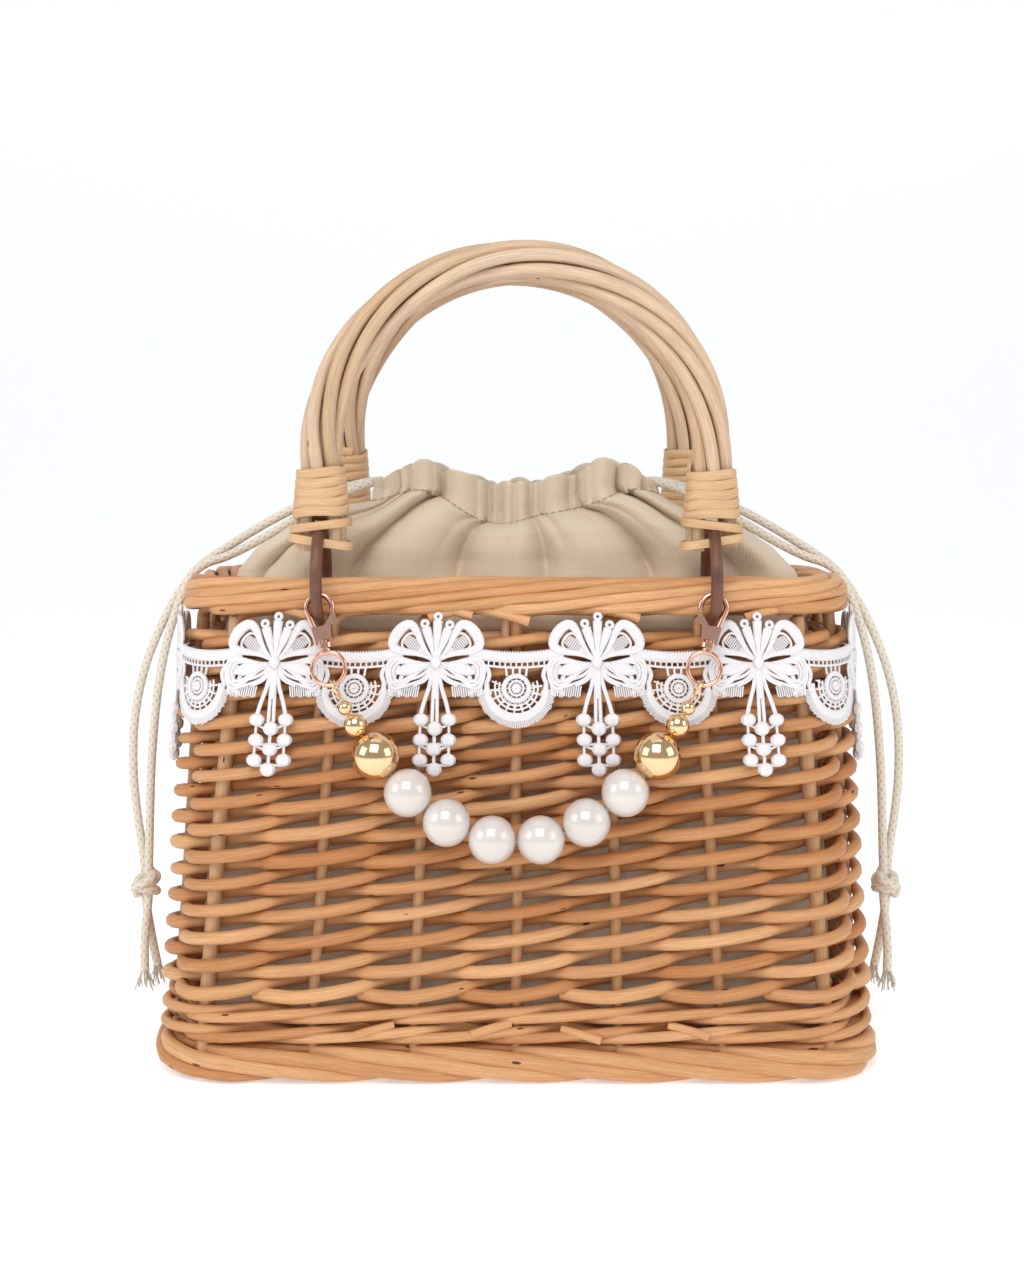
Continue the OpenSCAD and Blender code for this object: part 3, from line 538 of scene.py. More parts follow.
skein = willow("skein", (0.76, 0.50, 0.28), (0.62, 0.36, 0.17), 0.02)
for which, leg, turns in (("front", 0.042, 5.15), ("rear", 0.050, 7.7)):
    straight = np.linspace(0.0235, leg, 7)[:-1]
    middle = [(-BOW_R, z, -1.0, 0.0) for z in straight]
    middle += [(-BOW_R * math.cos(t), leg + BOW_R * math.sin(t), -math.cos(t), math.sin(t)) for t in np.linspace(0,
                                                                                                                 math.pi, 60)]
    middle += [(BOW_R, z, 1.0, 0.0) for z in straight[::-1]]
    middle = np.array(middle)
    along = np.concatenate([[0], np.cumsum(np.hypot(np.diff(middle[:, 0]), np.diff(middle[:, 1])))])
    rods = []
    for k in range(7):
        tone_of_rod = chance.random()
        thick = chance.uniform(0.00225, 0.0025)
        wave = chance.uniform(0, 6)
        points = []
        for (x, z, out_x, out_z), s in zip(middle, along):
            far = BUNDLE_R * (0.97 + 0.05 * math.sin(s * 60 + wave)) if k else 0.0
            turn = k * math.pi / 3 + 0.3 + s / along[-1] * math.radians(400) + 0.10 * math.sin(s * 45 + wave)
            points.append((x + far * math.cos(turn) * out_x, far * math.sin(turn), z + far * math.cos(turn) * out_z))
        rods.append((stand(points, which), thick, tone_of_rod))
    for sx in (-1, 1):  # the rods that run on down beside the ring, with their cut ends
        for dx, dy, foot_z in ((-0.0064, 0.0, 0.0098), (0.0064, 0.0, 0.0104), (-0.0047, -0.0042, 0.0090),
                               (0.0047, 0.0042, 0.0112), (-0.0046, 0.0044, 0.0104), (0.0048, -0.0042, 0.0125)):
            end = [(sx * BOW_R + dx * 1.08, dy, foot_z), (sx * BOW_R + dx * 1.03, dy, 0.018),
                   (sx * BOW_R + dx * 0.85, dy, 0.026), (sx * BOW_R + dx * 0.7, dy * 0.9, 0.032)]
            rods.append((stand(smooth(end, 0.003), which), 0.0021, chance.random()))
    bow = strands(f"{which}_handle_bow", rods, sides=12)
    bow.data.materials.append(peeled)
    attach(bow, f"{which}_handle")
    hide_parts(f"{which}_handle_rods")
    for sx, hand in ((-1, "left"), (1, "right")):
        strips, outs = [], []
        for t in np.linspace(0, turns, int(turns * 36) + 1):
            angle = 2 * math.pi * t + (0.6 if sx < 0 else 2.4)
            z = 0.0205 + t * 0.0033
            widen = 0.0016 * (1 - t / turns)
            c, s = math.cos(angle), math.sin(angle)
            c, s = math.copysign(abs(c) ** 0.72, c), math.copysign(abs(s) ** 0.72, s)
            strips.append((sx * BOW_R + (0.0079 + widen) * c, (0.0074 + widen * 0.5) * s,
                           z + 0.0003 * math.sin(3 * angle + t)))
            outs.append((c / 1.0, s / 0.95, 0.0))
        courses = [(stand(strips, which), np.column_stack([np.full(len(strips), 0.00172), np.full(len(strips), 0.00042)]), 0.4, outs)]
        for z, dip, tone_of_strip, more in ((0.0178, -0.0012, 0.7, 0.0006), (0.0122, 0.0016, 0.3, 0.0009)):
            strips, outs = [], []
            for t in np.linspace(0, 1.02, 46):
                angle = 2 * math.pi * t + math.pi * 0.5
                c, s = math.cos(angle), math.sin(angle)
                c, s = math.copysign(abs(c) ** 0.66, c), math.copysign(abs(s) ** 0.66, s)
                # the wire of the ring comes out between these two turns, at the front and the back
                strips.append((sx * BOW_R + (0.0096 + more) * c, (0.0083 + more) * s, z + dip * c * sx))
                outs.append((c, s, 0.0))
            courses.append((stand(strips, which),
                            np.column_stack([np.full(len(strips), 0.0015),
                                             np.full(len(strips), 0.0004)]), tone_of_strip, outs))
        band = strands(f"{which}_{hand}_skein", courses, sides=8)
        band.data.materials.append(skein)
        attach(band, f"{which}_handle")
        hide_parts(f"{which}_{hand}_lashing")

# ---- Rings ----
# Four stiff round rings join the handles to the basket: wire covered with brown leather, a little shiny,
# with fine creases round the wire.
leather, tree, shader = material("brown_leather", 0.42)
place = shader_node(tree, "TexCoord")
fine = shader_node(tree, "TexNoise", {"Scale": 1400, "Detail": 4})
wide = shader_node(tree, "TexNoise", {"Scale": 120, "Detail": 2})
tree.links.new(place.outputs["Object"], fine.inputs["Vector"])
tree.links.new(place.outputs["Object"], wide.inputs["Vector"])
tree.links.new(ramp(tree, wide.outputs["Fac"], [(0.3, (0.100, 0.034, 0.018)), (0.7, (0.185, 0.072, 0.040))]),
               shader.inputs["Base Color"])
bump = shader_node(tree, "Bump", {"Strength": 0.35, "Distance": 0.0002, "Height": fine.outputs["Fac"]})
tree.links.new(bump.outputs["Normal"], shader.inputs["Normal"])
for which in ("front_left_ring", "front_right_ring", "rear_left_ring", "rear_right_ring"):
    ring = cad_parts[which]
    ring.data.materials.clear()
    ring.data.materials.append(leather)
# ---- Linen bag ----
# A drawstring bag of undyed linen lines the basket. Its lining is a plain tube with a flat bottom, sewn
# to the rim's inside, and its top narrows in deep folds to a gathered, stitched casing with a frill.
LINEN_THREADS = 1350.0  # to the metre, each way
linen, tree, shader = material("undyed_linen", 0.88)
uv = shader_node(tree, "UVMap", uv_map="UVMap")
threads = shader_node(tree, "SeparateXYZ", {0: uv.outputs["UV"]})
rows = []
for axis in (0, 1):
    count = shader_node(tree, "Math", {1: LINEN_THREADS, 0: threads.outputs[axis]}, operation="MULTIPLY")
    arch = shader_node(tree, "Math", {1: 0.5, 0: count.outputs[0]}, operation="PINGPONG")
    rows.append(arch.outputs[0])
over_under = shader_node(tree, "TexChecker", {"Scale": LINEN_THREADS, "Vector": uv.outputs["UV"]})
weave_height = shader_node(tree, "Mix", {"Factor": over_under.outputs["Fac"], "A": rows[0], "B": rows[1]},
                           data_type="FLOAT")
slub_colours = []
for squeeze in ((40, 1500, 1), (1500, 40, 1)):
    along = shader_node(tree, "Mapping", {"Scale": squeeze, "Vector": uv.outputs["UV"]})
    slub = shader_node(tree, "TexNoise", {"Scale": 1.0, "Detail": 2, "Vector": along.outputs["Vector"]})
    slub_colours.append(slub.outputs["Fac"])
slubs = shader_node(tree, "Mix", {"Factor": over_under.outputs["Fac"], "A": slub_colours[0], "B": slub_colours[1]},
                    data_type="FLOAT")
shade = ramp(tree, slubs.outputs["Result"], [(0.2, (0.66, 0.53, 0.385)), (0.5, (0.715, 0.585, 0.435)), (0.8, (0.755, 0.64, 0.495))])
tree.links.new(shade, shader.inputs["Base Color"])
bump = shader_node(tree, "Bump", {"Strength": 0.55, "Distance": 0.00035, "Height": weave_height.outputs["Result"]})
tree.links.new(bump.outputs["Normal"], shader.inputs["Normal"])
shader.inputs["Sheen Weight"].default_value = 0.25
shader.inputs["Sheen Roughness"].default_value = 0.5


def rounded_ring(turn, a, b, r):
    """Points and outward directions on rounded rectangles of half length a, half depth b and corner radius r."""
    turn = turn % 1.0
    whole = 4 * (a + b) - 8 * r + 2 * math.pi * r
    mx = np.where(turn > 0.5, -1.0, 1.0)
    quarter = np.where(turn > 0.5, 1 - turn, turn)
    my = np.where(quarter > 0.25, -1.0, 1.0)
    s = np.where(quarter > 0.25, 0.5 - quarter, quarter) * whole
    t = np.clip((s - (a - r)) / r, 0, math.pi / 2)
    x = np.where(s < a - r, s, a - r + r * np.sin(t))
    end = s - (a - r) - r * math.pi / 2
    y = np.where(end > 0, -(b - r) + end, -(b - r) - r * np.cos(t))
    return x * mx, y * my, np.sin(t) * mx, -np.cos(t) * my


def cloth(name, layers):
    """A cloth shell from a grid of points: rings of points, each ring closed, the last ring joined to the first.
    Its UV map is in metres along and across the cloth."""
    rings, n = layers.shape[:2]
    mesh = bpy.data.meshes.new(name)
    faces, uvs = [], []
    round_ = np.linalg.norm(np.roll(layers, -1, axis=1) - layers, axis=2)
    across = np.concatenate([[0], np.cumsum(np.linalg.norm(np.diff(layers, axis=0), axis=2).mean(axis=1))])
    u = np.concatenate([[0], np.cumsum(round_.max(axis=0))])
    for i in range(rings):
        j = (i + 1) % rings
        v0, v1 = across[i], across[i] + float(np.linalg.norm(layers[j] - layers[i], axis=1).mean())
        for k in range(n):
            k2 = (k + 1) % n
            faces.append((i * n + k, i * n + k2, j * n + k2, j * n + k))
            uvs += [(u[k], v0), (u[k + 1], v0), (u[k + 1], v1), (u[k], v1)]
    mesh.from_pydata(layers.reshape(-1, 3).tolist(), [], faces)
    mesh.uv_layers.new(name="UVMap").data.foreach_set("uv", np.array(uvs).ravel())
    made = bpy.data.objects.new(name, mesh)
    bpy.context.scene.collection.objects.link(made)
    bpy.ops.object.select_all(action="DESELECT")
    made.select_set(True)
    bpy.context.view_layer.objects.active = made
    bpy.ops.object.shade_smooth()
    made.data.materials.append(linen)
    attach(made, "basket")
    return made


# The tube inside the basket: its wall lies just inside the weave and its bottom on the base.
turn = np.arange(240) / 240
layers = []
for z, inset in ((0.0125, 0.0395), (0.0121, 0.030), (0.0121, 0.018), (0.0121, 0.007), (0.0128, 0.0018),
                 (0.0150, 0.0003),
                 (0.030, 0), (0.050, 0), (0.070, 0), (0.090, 0), (0.110, 0), (0.130, 0), (0.1495, 0)):
    a, b, r = HALF_L - TAPER_L * z / RIM - 0.0072 - inset, HALF_D - TAPER_D * z / RIM - 0.0072 - inset, max(0.0165 - inset, 0.002)
    x, y, nx, ny = rounded_ring(turn, a, b, r)
    ripple = 0.0005 * (1 + np.sin(turn * 2 * math.pi * 31 + z * 60)) * (inset == 0)
    layers.append(np.column_stack([x - nx * ripple, y - ny * ripple, np.full(len(turn), z)]))
outside = np.array(layers)
normal_in = []
for z, inset in zip(outside[:, 0, 2], (0.0395, 0.030, 0.018, 0.007, 0.0018, 0.0003, 0, 0, 0, 0, 0, 0, 0)):
    x, y, nx, ny = rounded_ring(turn, HALF_L, HALF_D, CORNER_R)
    lift = 1.0 if inset > 0.005 else 0.5 if inset > 0.001 else 0.0
    normal_in.append(np.column_stack([-nx * (1 - lift), -ny * (1 - lift), np.full(len(turn), lift)]) * 0.0008)
inside = outside + np.array(normal_in)
lining = cloth("bag_lining", np.concatenate([outside, inside[::-1]]))
bpy.ops.object.mode_set(mode="EDIT")
bpy.ops.mesh.select_all(action="SELECT")
bpy.ops.mesh.normals_make_consistent(inside=False)
bpy.ops.object.mode_set(mode="OBJECT")
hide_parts("lining_bag")

# The top: each crease starts at the casing and runs down as far as its own reach, opening out as it goes.
levels = np.array([(0.0, 0.150, 0.1050, 0.0415, 0.016), (0.08, 0.155, 0.1042, 0.0358, 0.014),
                   (0.15, 0.160, 0.1034, 0.0322, 0.012),
                   (0.22, 0.165, 0.1026, 0.0302, 0.011), (0.33, 0.172, 0.0996, 0.0288, 0.0105), (0.47, 0.180, 0.0920,
                                                                                                 0.0272, 0.011),
                   (0.63, 0.187, 0.0800, 0.0242, 0.0125), (0.80, 0.1932, 0.0660, 0.0202, 0.0125), (0.92, 0.1968,
                                                                                                   0.0560, 0.0172, 0.012),
                   (1.0, 0.1990, 0.0508, 0.0150, 0.0110), (1.06, 0.2015, 0.0496, 0.0141, 0.0105), (1.5, 0.2070,
                                                                                                   0.0500, 0.0144, 0.0105)])
chance = random.Random(21)
creases = []
place = 0.0
while place < 0.975:
    creases.append((place + chance.uniform(-0.004, 0.004), chance.choice((0.22, 0.35, 0.5, 0.7, 0.9)),
                    chance.uniform(0.0042, 0.0085)))
    place += chance.uniform(0.030, 0.052)
# A few long folds run from the casing right down to the rim.
for turn_at, depth in ((0.022, 0.0105), (0.098, 0.0120), (0.160, 0.0085), (0.958, 0.0115), (0.882, 0.0110),
                       (0.815, 0.008), (0.31, 0.008),
                       (0.372, 0.0110), (0.448, 0.0115), (0.53, 0.0105), (0.60, 0.0110), (0.69, 0.008)):
    creases.append((turn_at, 1.0, depth))


def bag_at(turn, h, inward=0.0):
    """Points on the bag's top, turn of the way round, at h from 0 at the lining to 1 at the stitches and 1.5 at the
    frill's edge, moved inwards through the cloth."""
    z, a, b, r = (np.interp(h, levels[:, 0], levels[:, i]) for i in (1, 2, 3, 4))
    whole = 4 * (a + b) - 8 * r + 2 * math.pi * r
    gathered = np.clip(h, 0, 1)
    dent = np.zeros_like(turn)
    for at, reach, depth in creases:
        apart = np.abs((turn - at + 0.5) % 1.0 - 0.5) * whole
        strength = np.clip((h - (1 - reach)) / max(reach, 0.01), 0, 1)
        strength = strength ** 0.75
        width = 0.0024 + 0.0050 * (1 - gathered)
        if reach == 1.0:  # a long fold is deepest half-way up, and leans a little as it climbs
            strength = np.clip(h * 2.6, 0, 1) * (1.95 - 1.0 * gathered)
        dent = dent + depth * strength * np.exp(-(np.sqrt(apart ** 2 + (0.18 * width) ** 2)) / width)
    dent = np.minimum(dent, b - 0.003)  # a valley stops short of the cloth on the other side
    swell = 0.0042 * np.clip((h - 0.1) * 1.8, 0, 1) + 0.0010 * np.sin(turn * 2 * math.pi * 9 + 1.0) * gathered
    a, b = a - inward, b - inward
    x, y, nx, ny = rounded_ring(turn, a, b, np.maximum(r - inward, 0.003))
    x, y = x + nx * (swell - dent), y + ny * (swell - dent)
    front = np.where(y < 0, 1.0, 0.75)
    sink = np.clip((h - 0.35) / 0.65, 0, 1) ** 1.5
    z = z - sink * front * 0.0115 * np.exp(-(x / 0.019) ** 2) + 0.0022 * sink * np.sin(x * 160 + 0.8) * (h < 1.001)
    edge = np.clip((h - 1.0) / 0.5, 0, 1)
    humps = 0.0058 * np.exp(-((x + 0.034) / 0.0115) ** 2) + 0.0066 * np.exp(-((x - 0.033) / 0.0125) ** 2) - 0.002 * np.clip((np.abs(x) - 0.043) / 0.006, 0, 1)
    centre = 0.0105 * np.exp(-(x / 0.019) ** 2) * front
    z = z + edge * (humps + centre - dent * 0.35)
    y = y + np.sign(y) * edge * 0.0008
    return np.column_stack([x, y, z])


turn = np.arange(660) / 660
heights = np.concatenate([np.linspace(0, 0.2, 5)[:-1], np.linspace(0.2, 1.0, 44)[:-1], np.linspace(1.0, 1.47, 16)])
outside = [bag_at(turn, np.full(len(turn), h), 0.0006 * math.exp(-((h - 1.0) / 0.02) ** 2)) for h in heights]
rolled = [bag_at(turn, np.full(len(turn), 1.5), 0.0006), bag_at(turn, np.full(len(turn), 1.5), 0.0018)]
inside = [bag_at(turn, np.full(len(turn), h),
                 0.0024 if h > 1.0 else 0.0008) for h in np.concatenate([[1.46, 1.4, 1.3, 1.2, 1.1, 1.01],
                                                                         np.linspace(0.985, 0, 34)])]
bag_top = cloth("bag_gathered_top", np.array(outside + rolled + inside))
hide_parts("bag_top", "drawstring_casing")

# One row of sewing under the drawstrings closes the casing.
courses = []
pitch = 0.0030
even = np.linspace(0, 1, 2400, endpoint=False)
line = bag_at(even, np.full(len(even), 1.0), -0.0003)
run = np.concatenate([[0], np.cumsum(np.linalg.norm(np.diff(line, axis=0), axis=1))])
for start in np.arange(0, run[-1] - pitch, pitch):
    i = np.interp([start, start + pitch * 0.3, start + pitch * 0.62], run, np.arange(len(run)))
    courses.append(([line[int(k)] for k in i], 0.00019, 0.5))
stitches = strands("bag_casing_stitches", courses, sides=5)
thread, tree, shader = material("linen_thread", 0.8)
grain = shader_node(tree, "Attribute", attribute_name="tone")
tree.links.new(ramp(tree, grain.outputs["Fac"], [(0.0, (0.36, 0.27, 0.18)), (1.0, (0.44, 0.34, 0.24))]),
               shader.inputs["Base Color"])
stitches.data.materials.append(thread)
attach(stitches, "basket")

# ---- Lace ----
# White guipure lace: cotton satin stitch with no ground cloth. A band with fringed round scallops runs round
# the top of the weave, a five-part flower covers each joint, and a cluster of bobbles hangs from each flower.
lace_white, tree, shader = material("guipure_cotton", 0.85)
uv = shader_node(tree, "UVMap", uv_map="UVMap")
split = shader_node(tree, "SeparateXYZ", {0: uv.outputs["UV"]})
count = shader_node(tree, "Math", {1: 2300.0, 0: split.outputs[0]}, operation="MULTIPLY")
stitch = shader_node(tree, "Math", {1: 0.5, 0: count.outputs[0]}, operation="PINGPONG")
fluff = shader_node(tree, "TexNoise", {"Scale": 2600, "Detail": 3})
place = shader_node(tree, "TexCoord")
tree.links.new(place.outputs["Object"], fluff.inputs["Vector"])
relief = shader_node(tree, "Math", {1: 1.0, 0: stitch.outputs[0], 2: fluff.outputs["Fac"]}, operation="MULTIPLY_ADD")
bump = shader_node(tree, "Bump", {"Strength": 0.6, "Distance": 0.0003, "Height": relief.outputs[0]})
tree.links.new(bump.outputs["Normal"], shader.inputs["Normal"])
# The colour follows the stitch relief: the grooves between the satin threads are painted darker, painted shade in the
# recesses.
tree.links.new(ramp(tree, stitch.outputs[0], [(0.0, (0.72, 0.68, 0.68)), (0.3, (0.90, 0.88, 0.89))]),
               shader.inputs["Base Color"])
shader.inputs["Sheen Weight"].default_value = 0.3

# The lace's own measure goes round the outside of the weave, from the middle of the front.
LACE_OUT = 0.0072
turns = np.linspace(0, 1, 1601)
outer = np.array([wall(t, 0.140, LACE_OUT)[:2] for t in turns])
round_lace = np.concatenate([[0], np.cumsum(np.linalg.norm(np.diff(outer, axis=0), axis=1))])
whole_lace = round_lace[-1]


def on_wall(s, z, lift):
    turn = float(np.interp(s % whole_lace, round_lace, turns))
    return wall(turn, z, LACE_OUT + lift)


def satin(centre, pitch, path, width, thick=0.00042, lift=0.0, tone=0.5, closed=False):
    """One satin stitch: a flat raised line on the wall through (across, up) points in millimetres from a centre."""
    pts = np.array(path, float)
    if closed:
        pts = np.vstack([pts, pts[:2]])
    n = len(pts)
    width = np.interp(np.linspace(0, 1, n), np.linspace(0, 1, len(width)), width) if np.ndim(width) else np.full(n,
                                                                                                                 width)
    places, outs = [], []
    for (p, q), w in zip(pts, width):
        s, z = centre[0] + p * pitch / 1000, centre[1] + q / 1000
        here = on_wall(s, z, lift)
        places.append(here)
        outs.append(on_wall(s, z, lift + 0.01) - here)
    return (places, np.column_stack([width / 1000, np.full(n, thick)]), tone, outs)


def arc(cx, cy, r, start, end, n):
    return [(cx + r * math.cos(math.radians(start + (end - start) * i / n)),
             cy + r * math.sin(math.radians(start + (end - start) * i / n)))
            for i in range(n + 1)]


def petal(angle, length, half, n=22, start=1.2):
    """The outline of a petal from the flower's middle and back to it."""
    pts = []
    for i in range(n + 1):
        t = i / n
        along = start + (length - start) * math.sin(math.pi * t) ** 0.8
        side = half * math.sin(2 * math.pi * t) * (0.35 + 0.65 * math.sin(math.pi * t)) * 1.25
        pts.append((along * math.cos(math.radians(angle)) - side * math.sin(math.radians(angle)),
                    along * math.sin(math.radians(angle)) + side * math.cos(math.radians(angle))))
    return pts


half_round = whole_lace / 2
end_flower = (HALF_L - TAPER_L * 0.144 / RIM - CORNER_R) + (CORNER_R + LACE_OUT) * math.pi / 2 + (HALF_D - TAPER_D * 0.144 / RIM - CORNER_R) - 0.024
centres = [0.0275, 0.0825, end_flower, 2 * (half_round / 2) - end_flower]
centres = centres + [half_round - s for s in (0.0825, 0.0275)]
centres = sorted(centres + [whole_lace - s for s in centres])
flower, band, pendants = [], [], []
chance = random.Random(5)
for number, s in enumerate(centres):
    after = centres[(number + 1) % len(centres)] + (whole_lace if number == len(centres) - 1 else 0)
    gap = (after - s) * 1000
    hub = (s, 0.1425)
    for m in (-1, 1):
        # upper wing: a thick rim, an inner rim, ribs and a ladder
        rim = [(p * m, q) for p, q in petal(37, 16.6, 4.6)]
        flower.append(satin(hub, 1, rim, [0.6, 1.2, 1.7, 1.9, 1.7, 1.2, 0.6], 0.0007, 0.0006))
        inner = [(p * m, q) for p, q in petal(37, 13.6, 2.9)]
        flower.append(satin(hub, 1, inner, 0.42, 0.0005, 0.0005))
        for k in range(12):
            a, r = 37, 5.0 + k * 0.74
            half = 2.2 - 0.13 * abs(k - 6)
            c, d = math.cos(math.radians(a)), math.sin(math.radians(a))
            flower.append(satin(hub, 1, [((r * c - h * d) * m, r * d + h * c) for h in (-half, 0, half)], 0.29,
                                0.0003, 0.0004))
        for a in (25, 31, 37, 43, 49):
            flower.append(satin(hub, 1, [(r * math.cos(math.radians(a)) * m, r * math.sin(math.radians(a))) for r in (1.5, 4, 7.0)], [0.5, 0.55, 0.4], 0.0004, 0.0005))
        # side petal: a padded leaf with two ribs round it
        leaf = [(p * m, q - 0.4 - 0.012 * p * p * 0.4) for p,
                q in ((2.2, -0.2), (5, -0.9), (8, -1.5), (11, -2.0), (13.3, -2.3))]
        flower.append(satin(hub, 1, smooth([(p, q, 0) for p, q in leaf], 1.3)[:, :2], [0.35, 1.1, 1.9, 2.2, 1.9, 0.8],
                            0.0008, 0.0005))
        for size, w in ((1.0, 0.55), (1.32, 0.6), (1.62, 0.7)):
            ring = [(p * m, q - 0.6 - 0.016 * p * p * 0.4) for p,
                    q in petal(-9, 14.6 + 1.6 * (size - 1) * 2, 3.1 * size)]
            flower.append(satin(hub, 1, ring, w, 0.0005, 0.0004))
        # lower ribs, fanning from the middle to the band's lower edge
        for end, w in (((15.5, -7.2), 0.62), ((11.5, -8.6), 0.55), ((7.5, -8.3), 0.5)):
            path = smooth([(0.9 * m, -1.2, 0), (0.38 * end[0] * m, 0.62 * end[1] - 0.6, 0), (end[0] * m, end[1], 0)],
                          1.2)[:, :2]
            flower.append(satin(hub, 1, path, w, 0.0005, 0.0003))
        # the small comb of fringe under the side petal
        for k in range(12):
            p = (5.6 + k * 0.75) * m
            low = -11.9 - 0.25 * math.sin(k * 1.7)
            flower.append(satin(hub, 1, [(p, -8.3 + 0.10 * k * 0.1), (p + 0.3 * m, -10), (p + 0.55 * m, low)], 0.28,
                                0.00032, 0.0002, chance.random()))
    # three fingers, each ending in a small eyelet
    for a, length in ((107, 13.6), (88, 15.4), (70, 13.4)):
        c, d = math.cos(math.radians(a)), math.sin(math.radians(a))
        flower.append(satin(hub, 1, [(r * c, r * d) for r in np.linspace(1.0, length - 1.4, 7)],
                            [0.45, 0.8, 1.2, 1.5, 1.6], 0.0007, 0.0011))
        flower.append(satin(hub, 1, arc(length * c, length * d, 1.05, a, a + 324, 9), 0.62, 0.0006, 0.0011,
                            closed=True))
    flower.append(satin(hub, 1, [(0, -2.0), (0, -1), (0, 0), (0, 1), (0, 2.0)], [0.7, 1.7, 2.0, 1.7, 0.7], 0.0012,
                        0.0010))
    # the band between this flower and the next
    mid = (s + gap / 2000, 0.1425)
    reach = gap / 2 - 11.5
    across = np.linspace(-reach, reach, 22)
    sag = lambda p: 1.3 + 1.7 * (p / reach) ** 2
    band.append(satin(mid, 1, [(p, sag(p)) for p in across], 1.75, 0.0006, 0.0001))
    band.append(satin(mid, 1, [(p, sag(p) - 3.3) for p in across], 0.42, 0.0004, 0.0001))
    for p in np.arange(-reach + 0.5, reach, 0.95):
        band.append(satin(mid, 1, [(p, sag(p) + 1.4), (p, sag(p) + 2.15)], 0.3, 0.0004, 0.0001, chance.random()))
    for p in np.arange(-reach + 0.8, reach, 1.9):
        band.append(satin(mid, 1, [(p, sag(p) - 1.6), (p, sag(p) - 3.2)], 0.3, 0.0003, 0.0))
    # curved ribs on both sides of the medallion
    for m in (-1, 1):
        for k, w in ((0, 0.85), (1, 0.7), (2, 0.8)):
            top = (reach - 1.0 - k * 2.3) * m
            path = smooth([(top, -1.2, 0), (top + (-1.6 + 0.2 * k) * m, -4.5, 0),
                           (top - (1.2 - 0.5 * k) * m, -8.0, 0), (top + (0.8 - 1.2 * k) * m, -11.2, 0)], 1.2)[:, :2]
            band.append(satin(mid, 1, path, w, 0.0004, 0.0))
        band.append(satin(mid, 1, smooth([((reach + 1) * m, -1.0, 0), ((reach - 0.4) * m, -6.2, 0), ((reach - 2.6) * m, -10.2, 0)], 1.2)[:, :2], 0.8, 0.0005, 0.0))
    # the medallion: a dotted eye, two rings, a net, a solid rim and a fringe
    cy = -9.0
    band.append(satin(mid, 1, arc(0, cy, 0.85, 0, 324, 9), 0.85, 0.0006, 0.0004, closed=True))
    for k in range(12):
        t = k * 30
        band.append(satin(mid, 1, [(r * math.cos(math.radians(t)), cy + r * math.sin(math.radians(t))) for r in (1.6, 3.4)], 0.2, 0.0003, 0.0001))
    band.append(satin(mid, 1, arc(0, cy, 2.45, 0, 345, 23), 0.42, 0.0004, 0.0002, closed=True))
    band.append(satin(mid, 1, arc(0, cy, 4.2, 0, 345, 23), 0.85, 0.0006, 0.0003, closed=True))
    for r, w in ((5.9, 0.34), (7.3, 0.36)):
        band.append(satin(mid, 1, arc(0, cy, r, -200, 20, 30), w, 0.0003, 0.0))
    for k in range(21):
        t = -190 + k * 10
        band.append(satin(mid, 1, [(5.0 * math.cos(math.radians(t)), cy + 5.0 * math.sin(math.radians(t))),
                                   (8.7 * math.cos(math.radians(t + (6 if k % 2 else -6))),
                                    cy + 8.7 * math.sin(math.radians(t + (6 if k % 2 else -6))))], 0.27, 0.0003, 0.0))
    for p in (-3.6, -1.2, 1.2, 3.6):
        band.append(satin(mid, 1, [(p, -2.1), (p * 0.9, -4.9)], 0.42, 0.0003, 0.0))
    band.append(satin(mid, 1, arc(0, cy, 10.0, -188, 8, 34), [0.8, 1.5, 1.6, 1.5, 0.8], 0.0006, 0.0002))
    for k in range(52):
        t = -176 + k * 172 / 51
        out = 13.3 + chance.uniform(-0.25, 0.25)
        band.append(satin(mid, 1, [(r * math.cos(math.radians(t)), cy + r * math.sin(math.radians(t))) for r in (10.8, 12.0, out)], 0.3, 0.00036, 0.0001, chance.random()))
    # the pendant: four cords and seven bobbles on each, joined by short bars
    for m in (-1, 1):
        pendants.append(satin(hub, 1, [(1.1 * m, -4.0), (2.2 * m, -9.0), (3.8 * m, -14.0), (4.7 * m, -17.6)], 0.72,
                              0.0004, 0.0004))
        pendants.append(satin(hub, 1, [(0.45 * m, -4.0), (0.7 * m, -12.0), (0.85 * m, -20.5)], 0.62, 0.0004, 0.0004))
        pendants.append(satin(hub, 1, [(4.8 * m, -19), (4.9 * m, -26), (4.9 * m, -33)], 0.5, 0.0004, 0.0002))
        for q in (-22.7, -27.2, -29.8, -34.2):
            pendants.append(satin(hub, 1, [(0.3 * m, q - 0.6), (4.5 * m, q + (1.3 if q in (-22.7, -29.8) else -1.0))],
                                  0.42, 0.0004, 0.0002))
    pendants.append(satin(hub, 1, [(0, -2.0), (0, -7.0), (0, -12.5)], [1.6, 1.3, 0.8], 0.0007, 0.0005))
    pendants.append(satin(hub, 1, [(0, -21), (0, -29), (0, -37.4)], 0.6, 0.0004, 0.0002))
    for p, q, tall in [(4.8 * m, q, 2.15) for m in (-1, 1) for q in (-19.6, -26.4, -33.2)] + [(0, -22.6, 2.4),
                                                                                              (0, -29.6, 2.2), (0,
                                                                                                                -36.4, 2.3)]:
        h = np.linspace(-1, 1, 9)
        jog = chance.uniform(-0.25, 0.25)
        course = satin(hub, 1, [(p + jog, q + tall * k) for k in h], 1.0, 0.0009, 0.0005)
        swell = np.clip(1 - np.abs(h) ** 2.4, 0.06, 1) ** 0.5
        pendants.append((course[0], np.column_stack([0.0026 * swell, 0.0014 * swell + 0.0002]), chance.random(),
                         course[3]))
for name, courses, node in (("lace_band", band, "lace_band"), ("lace_flowers", flower, "lace_flowers"),
                            ("lace_pendants", pendants, "lace_pendants")):
    piece = strands(f"{name}_stitched", courses, sides=6)
    piece.data.materials.append(lace_white)
    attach(piece, "basket")
    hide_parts(node)

